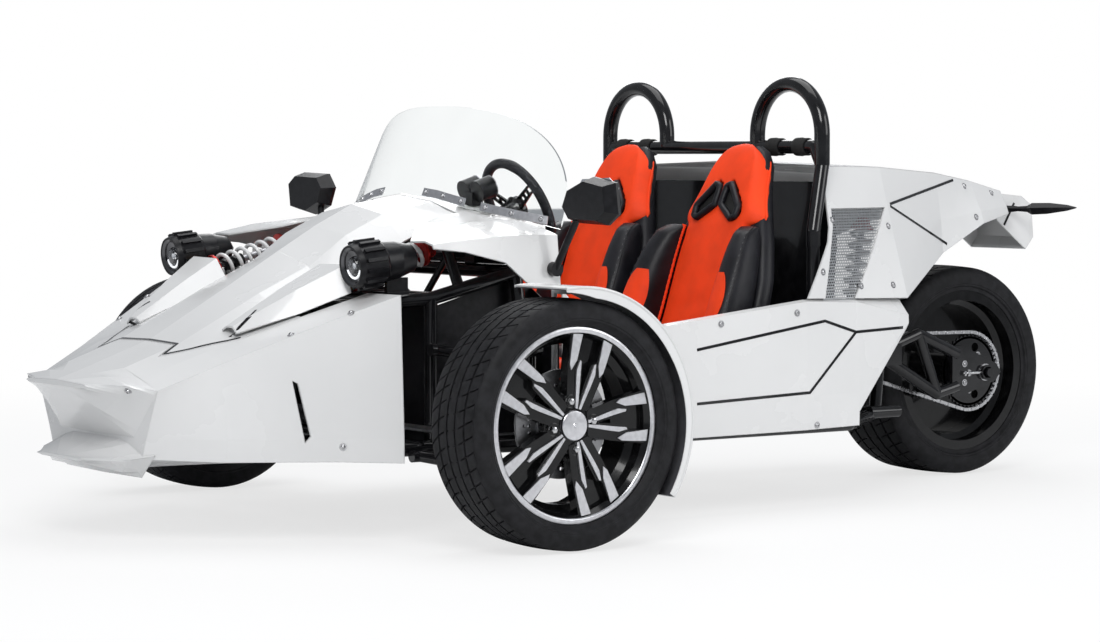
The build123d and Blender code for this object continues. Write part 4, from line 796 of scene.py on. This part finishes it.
    shell, rings = Shape(), []
    for z, front, back, half in SHELL:
        ring = []
        for k in range(28):
            a = 2 * pi * k / 28
            c, s = cos(a), sin(a)
            cx = (abs(c) ** 0.55) * (1 if c > 0 else -1)
            sy = (abs(s) ** 0.55) * (1 if s > 0 else -1)
            ring.append(at((front + back) / 2 + (back - front) / 2 * cx, middle + half * sy, z))
        rings.append(ring)
    shell.add(lofted(rings))
    for edge in (-1, 1):
        outline = [(y * edge, z) for y, z in HOLE]
        if edge < 0:
            outline = outline[::-1]
        ring_points = []
        for j, (y, z) in enumerate(outline):
            y2, z2 = outline[(j + 1) % len(outline)]
            for m in range(4):
                yy, zz = y + (y2 - y) * m / 4, z + (z2 - z) * m / 4
                ring_points.append(at(933 + (zz - 760) * 0.415, middle + yy, zz))
        shell.add(swept(ring_points, 0.0096, 12, closed=True))
        # A near-black sheet just behind each hole, painted shade for the shadowed space seen through it.
        floor = [p + X * 0.004 for p in ring_points]
        centre = sum(floor, Vector()) / len(floor)
        inner = [centre + (p - centre) * 1.02 + X * 0.003 for p in floor]
        shell.add(lofted([inner, [p + X * 0.004 for p in inner]]), 1)
    back_shell = shell.piece(f"seat_shell_{label}", "chassis", [BLACK_HIDE, HOLE_SHADE], "seat_trim", angle=50)
    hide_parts(f"seat_{label}")

# Steering wheel: padded rim, drilled spokes, boss with screws

wheel_centre = at(300, -SEAT_Y, 795)
tilt = radians(24)
axis = Vector((cos(tilt), 0, sin(tilt)))
upward = Vector((-sin(tilt), 0, cos(tilt)))
GRIP_R = 0.126


def on_wheel(a):
    """The unit vector at angle a in the plane of the steering wheel."""
    return Y * cos(a) + upward * sin(a)


grip = Shape()
rim = [wheel_centre + on_wheel(2 * pi * k / 96) * GRIP_R for k in range(96)]
grip.add(swept(rim, lambda t: 0.0128 + 0.0011 * max(0, sin(t * 2 * pi * 4)) ** 4, 16, closed=True))
grip.piece("wheel_grip", "steering_wheel_body", [BLACK_HIDE], "wheel_grip", angle=60)
spokes = Shape()
spoke_back = wheel_centre - axis * 0.014
for turn in (-90, 30, 150):
    u = on_wheel(radians(turn))
    v = axis.cross(u)
    for lateral in (-1, 1):
        spokes.add(extruded([(0.028, lateral * 0.004), (0.030, lateral * 0.015), (0.118, lateral * 0.012),
                             (0.118, lateral * 0.006)][::lateral], spoke_back, u, v, 0.0045))
    for r in (0.03, 0.052, 0.075, 0.098):
        spokes.add(extruded([(r, -0.008), (r + 0.008, -0.008), (r + 0.008, 0.008), (r, 0.008)],
                            spoke_back, u, v, 0.0045))
boss = [(-47, 0), (-47, 26), (-20, 30), (-8, 36), (4, 34), (9, 28),
        (10, 12), (8, 0)]
spokes.add(revolved(boss, wheel_centre, axis, 48))
for k in range(6):
    spot = wheel_centre + axis * 0.0085 + on_wheel(radians(60 * k)) * 0.022
    spokes.add(screw(spot, axis, 3), 1)
made = spokes.piece("wheel_spokes", "steering_wheel_body", [BLACK_PAINT, ZINC], "wheel_grip")
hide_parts("steering_wheel")

# Gauges in the pod

gauges = Shape()
for y in (-230, -168):
    a, b = at(194, y, 838), at(236, y, 852)
    out = (b - a).normalized()
    gauges.add(revolved([(0, 23.5), (0, 28.5), (3, 28.5), (4, 26), (1, 23.5)], b, out, 40), 2)
    gauges.add(revolved([(0, 0), (0, 23.8), (0.6, 23.8), (0.6, 0)], b, out, 40))
    u, v = sides_of(out)
    for k in range(-5, 6):
        n = radians(24 * k)
        ray = u * sin(n) + v * cos(n)
        tick = [(0.017, -0.0004), (0.021, -0.0004), (0.021, 0.0004), (0.017, 0.0004)]
        gauges.add(extruded(tick, b + out * 0.0006, ray, out.cross(ray), 0.0004), 1)
    ray = u * 0.6 + v * 0.8
    gauges.add(extruded([(-0.003, -0.0007), (0.018, -0.0002), (0.018, 0.0002), (-0.003, 0.0007)],
                        b + out * 0.0012, ray, out.cross(ray), 0.0006), 3)
gauges.piece("gauges", "chassis", [DIAL, DIAL_MARK, SATIN_STEEL, RED_ANODISED], "black_trim")

# Lamps: lens, reflector and a glowing crescent, a painted highlight, in the front of each barrel

lamps = Shape()
for side in SIDES.values():
    a, b = at(-318, 460 * side, 664), at(-130, 460 * side, 684)
    inward = (b - a).normalized()
    out = -inward
    lamps.add(revolved([(-13, 4), (-13, 37.2), (-1, 37.6), (2, 41), (4.5, 45),
                        (1.5, 47), (-0.5, 46), (-4, 36), (-11.5, 4)], a, out, 48), 1)
    lamps.add(revolved([(-11, 0), (-11, 22), (-6, 23.5), (0.5, 20), (4, 12), (5, 0)],
                       a, out, 40), 0)
    u, v = sides_of(out)
    v = v if v.z > 0 else -v
    # The glowing arc below is a painted highlight in the lens.
    highlight_arc = []
    for k in range(17):
        n = radians(200 + 140 * k / 16)
        highlight_arc.append(a + out * -0.004 + (u * cos(n) + v * sin(n)) * 0.0295)
    lamps.add(swept(highlight_arc, 0.0032, 8), 2)
    lamps.add(revolved([(0, 44), (6, 45.5), (6, 50), (0, 52), (-8, 54.5), (-8, 46)],
                       a, out, 60), 3)
lamps.piece("lamp_fronts", "chassis", [LENS, REFLECTOR, GLOWING_HIGHLIGHT, BLACK_PLASTIC], "black_trim")

# Perforated sheet in the vents

PITCH = 7.6
HOLE_SHARE = 0.66


VENT = [(1153, 789), (1405, 789), (1205, 550), (1085, 550)]
known = []
for k in range(60):
    for m in range(60):
        hit = cast(["vent_meshes"], at(1085 + 320 * k / 59, -900, 550 + 239 * m / 59), Y)
        if hit:
            known.append(hit[0])


def terms(d, z):
    """The shape of the grille's face: two planes that meet on a line, slightly twisted."""
    fold = 740 + 5 * (d - 1015) / 405
    return [1.0, d / 1000, z / 1000, d * z / 1e6, max(0.0, z - fold) / 1000, max(0.0, z - fold) * d / 1e6]


rows = [terms((p.x - FRONT_AXLE) * 1000, p.z * 1000) for p in known]
FACE = np.linalg.lstsq(np.array(rows), np.array([p.y for p in known]), rcond=None)[0]


def on_vent(d, z):
    """The left grille's face at that place."""
    return at(d, float(np.dot(FACE, terms(d, z))) * 1000, z)


sheet = Shape()
hole = [(0.5 + HOLE_SHARE / 2 * cos(radians(225 + 45 * k)),
         0.5 + HOLE_SHARE / 2 * sin(radians(225 + 45 * k)))
        for k in range(8)]
outer = [(0, 0), (0.5, 0), (1, 0), (1, 0.5), (1, 1), (0.5, 1), (0, 1), (0, 0.5)]
tile = []
for k in range(8):
    n = (k + 1) % 8
    tile += [(k, n, 8 + n, 8 + k), (16 + k, 24 + k, 24 + n, 16 + n), (8 + k, 8 + n, 24 + n, 24 + k)]
for row in range(int(250 / PITCH)):
    for column in range(int(330 / PITCH)):
        d0, z0 = 1082 + (column + row % 2 / 2) * PITCH, 545 + row * PITCH
        front = [on_vent(d0 + u * PITCH, z0 + v * PITCH) for u, v in outer + hole]
        if inside(d0 + PITCH / 2, z0 + PITCH / 2, VENT, 2):
            verts = front + [p + Y * 0.0012 for p in front]
            sheet.add((verts, tile))
            sheet.add(([mirrored(p) for p in verts], tile))
made = sheet.piece("vent_grilles", "chassis", [MESH_METAL], "floor_alloy")
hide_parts("vent_meshes")

# Black panels round the footwell, behind the front wheels, painted shade: they darken the gap where the
# footwell's white walls sit in shadow

shade_panels = Shape()
for side in SIDES.values():
    outline = [(-62, 214), (226, 214), (226, 600), (160, 622), (-62, 560)]
    low = [at(d, side * 426, z) for d, z in outline]
    shade_panels.add(lofted([low, [p + Y * side * 0.0025 for p in low]]))
    low = [at(222, side * y, z) for y, z in ((428, 214), (553, 214), (553, 540), (428, 600))]
    shade_panels.add(lofted([low, [p + X * 0.0025 for p in low]]))
low = [at(-62, y, z) for y, z in ((-426, 214), (426, 214), (426, 540), (300, 600), (-300, 600), (-426, 540))]
shade_panels.add(lofted([low, [p + X * 0.0025 for p in low]]))
for y in (-240, 0, 240):
    shade_panels.add(extruded([(0, 0), (0.02, 0), (0.02, 0.3), (0, 0.3)], at(-64, y, 240), Y, Z, -0.004))
shade_panels.piece("footwell_shade_panels", "chassis", [BLACK_PLASTIC], "black_trim")

# Roller chain and toothed sprocket

CHAIN_Y = -0.144
CHAIN_R = 0.113
CHAIN_PITCH = 0.0159
PLATE_R = 0.0062
DRIVE = Vector((FRONT_AXLE + 1.44, CHAIN_Y, 0.385))
DRIVE_R = 0.040
rear_hub = Vector((REAR_AXLE, CHAIN_Y, REAR_R))
span = DRIVE - rear_hub
toward = span.normalized()
lean = (CHAIN_R - DRIVE_R) / span.length
rise = sqrt(1 - lean * lean)
square = Vector((-toward.z, 0, toward.x))


def tangent(sign):
    return toward * lean + square * rise * sign


def arc(centre, radius, start, end, steps):
    """Points from angle start on to angle end about the centre."""
    sweep = (end - start) % (2 * pi)
    return [centre + around(start + sweep * k / steps) * radius for k in range(steps + 1)]


low, high = tangent(-1), tangent(1)
upper, lower = atan2(high.z, high.x), atan2(low.z, low.x)
loop = arc(rear_hub, CHAIN_R, upper, lower, 48) + arc(DRIVE, DRIVE_R, lower, upper, 24)
lengths = [0.0]
for p, q in zip(loop, loop[1:] + loop[:1]):
    lengths.append(lengths[-1] + (q - p).length)
LINKS = 2 * round(lengths[-1] / CHAIN_PITCH / 2)


def on_loop(s):
    s %= lengths[-1]
    for i in range(len(loop)):
        if s <= lengths[i + 1]:
            part = (s - lengths[i]) / (lengths[i + 1] - lengths[i])
            return loop[i].lerp(loop[(i + 1) % len(loop)], part)
    return loop[0]


chain = Shape()
for n in range(LINKS):
    p, q = (on_loop(lengths[-1] * i / LINKS) for i in (n, n + 1))
    along = (q - p).normalized()
    up = along.cross(Y)
    chain.add(revolved([(-7.5, 0), (-7.5, 2.6), (-4.5, 2.6), (-4.5, 5), (4.5, 5),
                        (4.5, 2.6), (7.5, 2.6), (7.5, 0)], p, Y, 10), n % 2)
    offset = 0.0058 if n % 2 else 0.0042
    outline = []
    half = (q - p).length / 2
    for k in range(14):
        a = 2 * pi * k / 14
        x = cos(a) * PLATE_R + (half if cos(a) > 0 else -half)
        outline.append((x + half, sin(a) * PLATE_R * (0.72 if abs(cos(a)) < 0.3 else 1.0)))
    for sign in (-1, 1):
        chain.add(extruded(outline, p + Y * (sign * offset), along, up, 0.0014), n % 2)
made = chain.piece("roller_chain", "chassis", [MACHINED, ZINC], "disc_steel")
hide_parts("chain")

TEETH = 42
TOOTH = (0.1005, 0.1035, 0.1078, 0.1035)  # radii from gap to tip and back
teeth = Shape()
turns = [2 * pi * k / (TEETH * 4) for k in range(TEETH * 4)]
rim = [around(a) * TOOTH[k % 4] * 0.998 for k, a in enumerate(turns)]
bore = [around(a) * 0.094 for a in turns]
verts = []
for offset, ring in ((0.003, rim), (-0.003, rim), (-0.003, bore), (0.003, bore)):
    verts += [rear_hub + Y * offset + p for p in ring]
teeth.add((verts, joined(4, TEETH * 4)))
teeth.add(revolved([(4, 30), (4, 46), (-4.5, 46), (-4.5, 30)], rear_hub, Y, 48))
for k in range(5):
    a = radians(54 + 72 * k)
    teeth.add(screw(rear_hub - Y * 0.003 + around(a) * 0.056, -Y, 6.5), 1)
teeth.piece("sprocket_teeth", "rear_wheel", [BLACK_PAINT, ZINC], "disc_steel")
dress("sprocket", BLACK_PAINT)

# Arrow shaped indicators on short stalks

arrows = Shape()
for side in SIDES.values():
    start, tip = at(2136, 122 * side, 775), at(2212, 332 * side, 775)
    along = (tip - start).normalized()
    flat = along.cross(Z).normalized()
    sections = [(0, 9, 9), (0.1, 9, 9), (0.16, 6, 7), (0.3, 8, 9), (0.38, 20, 17), (0.6, 21, 16),
                (0.86, 13, 9), (1, 1.5, 1.5)]
    rings = []
    for t, wide, tall in sections:
        p = start.lerp(tip, t)
        tail = 7 * max(0, t - 0.3)
        shape = ((1, 0.15), (0.45, 1), (-0.5, 1), (-1, 0.25), (-0.6, -0.9), (0.4, -1))
        rings.append([p + (flat * a * wide + Z * (b * tall + tail)) / 1000 for a, b in shape])
    arrows.add(lofted(rings))
    lens = [start.lerp(tip, t) + Z * (4 + 4 * t) / 1000 for t in (0.42, 0.6, 0.8)]
    arrows.add(swept([p + flat * side * 0.0165 for p in lens], 0.0055, 10), 1)
made = arrows.piece("indicator_arrows", "chassis", [BLACK_PLASTIC, AMBER_LENS], "black_trim", angle=25)
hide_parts("rear_indicators")

# Axle nuts and chain adjusters at the rear wheel

rear_fittings = Shape()
hub = Vector((REAR_AXLE, 0, REAR_R))
for side in SIDES.values():
    out = Y * side
    rear_fittings.add(revolved([(214, 10), (214, 24.5), (216.5, 24.5), (216.5, 10)], hub, out, 40))
    rear_fittings.add(revolved([(216.5, 12.5), (216.5, 19.5), (226.5, 19.5), (228, 18), (228, 12.5)],
                               hub, out, 6))
    for d, z in ((1905, 305), (1888, 332), (1888, 278)):
        rear_fittings.add(screw(at(d, side * 214, z), out, 6.5))
    rear_fittings.add(swept([at(1878, side * 219, 305), at(1946, side * 219, 305)], 0.0042, 10))
    for d, thick in ((1880, 7), (1894, 6)):
        nut = [(0, 0), (0, 8.5), (thick, 8.5), (thick, 0)]
        rear_fittings.add(revolved(nut, at(d, side * 219, 305), X, 6))
rear_fittings.piece("axle_fittings", "chassis", [ZINC], "steel")

# Glass on the driver's side of the mirrors

MIRROR_EDGE = [(0, -48), (84, -36), (94, 29), (55, 54), (-59, 50), (-89, 17), (-66, -26)]
glasses = Shape()
for side in SIDES.values():
    face = at(254.2, 668 * side, 822)
    rings = []
    for lift, grow in ((-0.0006, 1.0), (0.0008, 1.0), (0.0016, 0.97)):
        rings.append([face + X * lift + (Y * side * a + Z * b) * grow / 1000 for a, b in MIRROR_EDGE])
    glasses.add(lofted(rings))
glasses.piece("mirror_glasses", "chassis", [GLASS_MIRROR], "clear", angle=20)

# Screen fixing strips along the glass foot

strips = Shape()
for side in SIDES.values():
    for ys in ((96, 252), (300, 470)):
        samples = []
        for k in range(13):
            y = ys[0] + (ys[1] - ys[0]) * k / 12
            base_z = 832 - 16 * min(y, 150) / 150 - max(0, min(y, 256) - 150) * 0.198
            base_z -= max(0, y - 256) * 0.2
            hit = cast(["windshield"], Vector((-2, side * y / 1000, (base_z + 15) / 1000)), X)
            if hit:
                samples.append(hit)
        rings = []
        for point, normal in samples:
            up = (Z - normal * Z.dot(normal)).normalized()
            lift = normal * 0.0022
            rings.append([point - up * 0.011 + normal * 0.0002, point + up * 0.011 + normal * 0.0002,
                          point + up * 0.011 + lift, point - up * 0.011 + lift])
        if len(rings) > 2:
            strips.add(lofted(rings))
            for n in (1, len(samples) // 2, len(samples) - 2):
                strips.add(screw(samples[n][0] + samples[n][1] * 0.0022, samples[n][1], 5), 1)
strips.piece("screen_strips", "chassis", [MACHINED, ZINC], "steel")

# Straps wrapped on the tube between the hoops

wraps = Shape()
for y in (-400, -290, 290, 400):
    centre = at(1130, y, 954)
    wraps.add(revolved([(-24, 19.2), (-24, 22.5), (-22, 23.8), (-1, 23.6), (3, 25.2),
                        (22, 24.6), (24, 22.8), (24, 19.2)], centre, Y, 32))
wraps.piece("harness_wraps", "chassis", [WEBBING], "seat_trim")

# Studio

floor_mesh = bpy.data.meshes.new("studio_floor")
floor_mesh.from_pydata([(-40, -40, 0), (40, -40, 0), (40, 40, 0), (-40, 40, 0)], [], [(0, 1, 2, 3)])
floor = bpy.data.objects.new("studio_floor", floor_mesh)
floor.location.z = -0.001
bpy.context.scene.collection.objects.link(floor)
floor_surface = bpy.data.materials.new("pale_floor")
floor_surface.use_nodes = True
tree = floor_surface.node_tree
plain = fill(tree.nodes["Principled BSDF"], {"Base Color": (0.86, 0.86, 0.86, 1), "Roughness": 0.9})
new, link = tree.nodes.new, tree.links.new
glow = fill(new("ShaderNodeEmission"), {"Strength": 1.0})
path = new("ShaderNodeLightPath")
where = new("ShaderNodeTexCoord")
far = new("ShaderNodeVectorMath")
far.operation = "LENGTH"
fade = fill(new("ShaderNodeMapRange"), {"From Min": 1.6, "From Max": 5.0, "To Min": 0.72, "To Max": 1.0})
fade.interpolation_type = "SMOOTHSTEP"
link(where.outputs["Object"], far.inputs[0])
link(far.outputs["Value"], fade.inputs["Value"])
share = new("ShaderNodeMath")
share.operation = "MULTIPLY"
link(fade.outputs["Result"], share.inputs[1])
mix = new("ShaderNodeMixShader")
link(path.outputs["Is Camera Ray"], share.inputs[0])
link(share.outputs["Value"], mix.inputs["Fac"])
link(plain.outputs["BSDF"], mix.inputs[1])
link(glow.outputs["Emission"], mix.inputs[2])
link(mix.outputs["Shader"], tree.nodes["Material Output"].inputs["Surface"])
floor_mesh.materials.append(floor_surface)

world = bpy.data.worlds.new("studio_world")
bpy.context.scene.world = world
world.use_nodes = True
tree = world.node_tree
new, link = tree.nodes.new, tree.links.new
soft = fill(tree.nodes["Background"], {"Color": (0.9, 0.94, 1.0, 1), "Strength": 0.36})
white = fill(new("ShaderNodeBackground"), {"Color": (1, 1, 1, 1), "Strength": 1.0})
path = new("ShaderNodeLightPath")
either = new("ShaderNodeMath")
either.operation = "MAXIMUM"
mix = new("ShaderNodeMixShader")
link(path.outputs["Is Camera Ray"], either.inputs[0])
link(path.outputs["Is Transmission Ray"], either.inputs[1])
link(either.outputs["Value"], mix.inputs["Fac"])
link(soft.outputs["Background"], mix.inputs[1])
link(white.outputs["Background"], mix.inputs[2])
link(mix.outputs["Shader"], tree.nodes["World Output"].inputs["Surface"])

LAMPS = [
    # name, place, size, watts
    ("key", (-3.5, -4.5, 4.5), 2.6, 215),
    ("fill", (3.5, -5.0, 2.6), 3.0, 90),
    ("top", (0.3, 0.5, 5.0), 4.0, 120),
    ("back", (3.0, 4.5, 3.4), 3.0, 80),
]
for name, place, size, watts in LAMPS:
    lamp = bpy.data.objects.new(name, bpy.data.lights.new(name, "AREA"))
    lamp.data.size = size
    lamp.data.energy = watts
    lamp.location = place
    lamp.rotation_euler = (Vector((0, 0, 0.4)) - Vector(place)).to_track_quat("-Z", "Y").to_euler()
    bpy.context.scene.collection.objects.link(lamp)
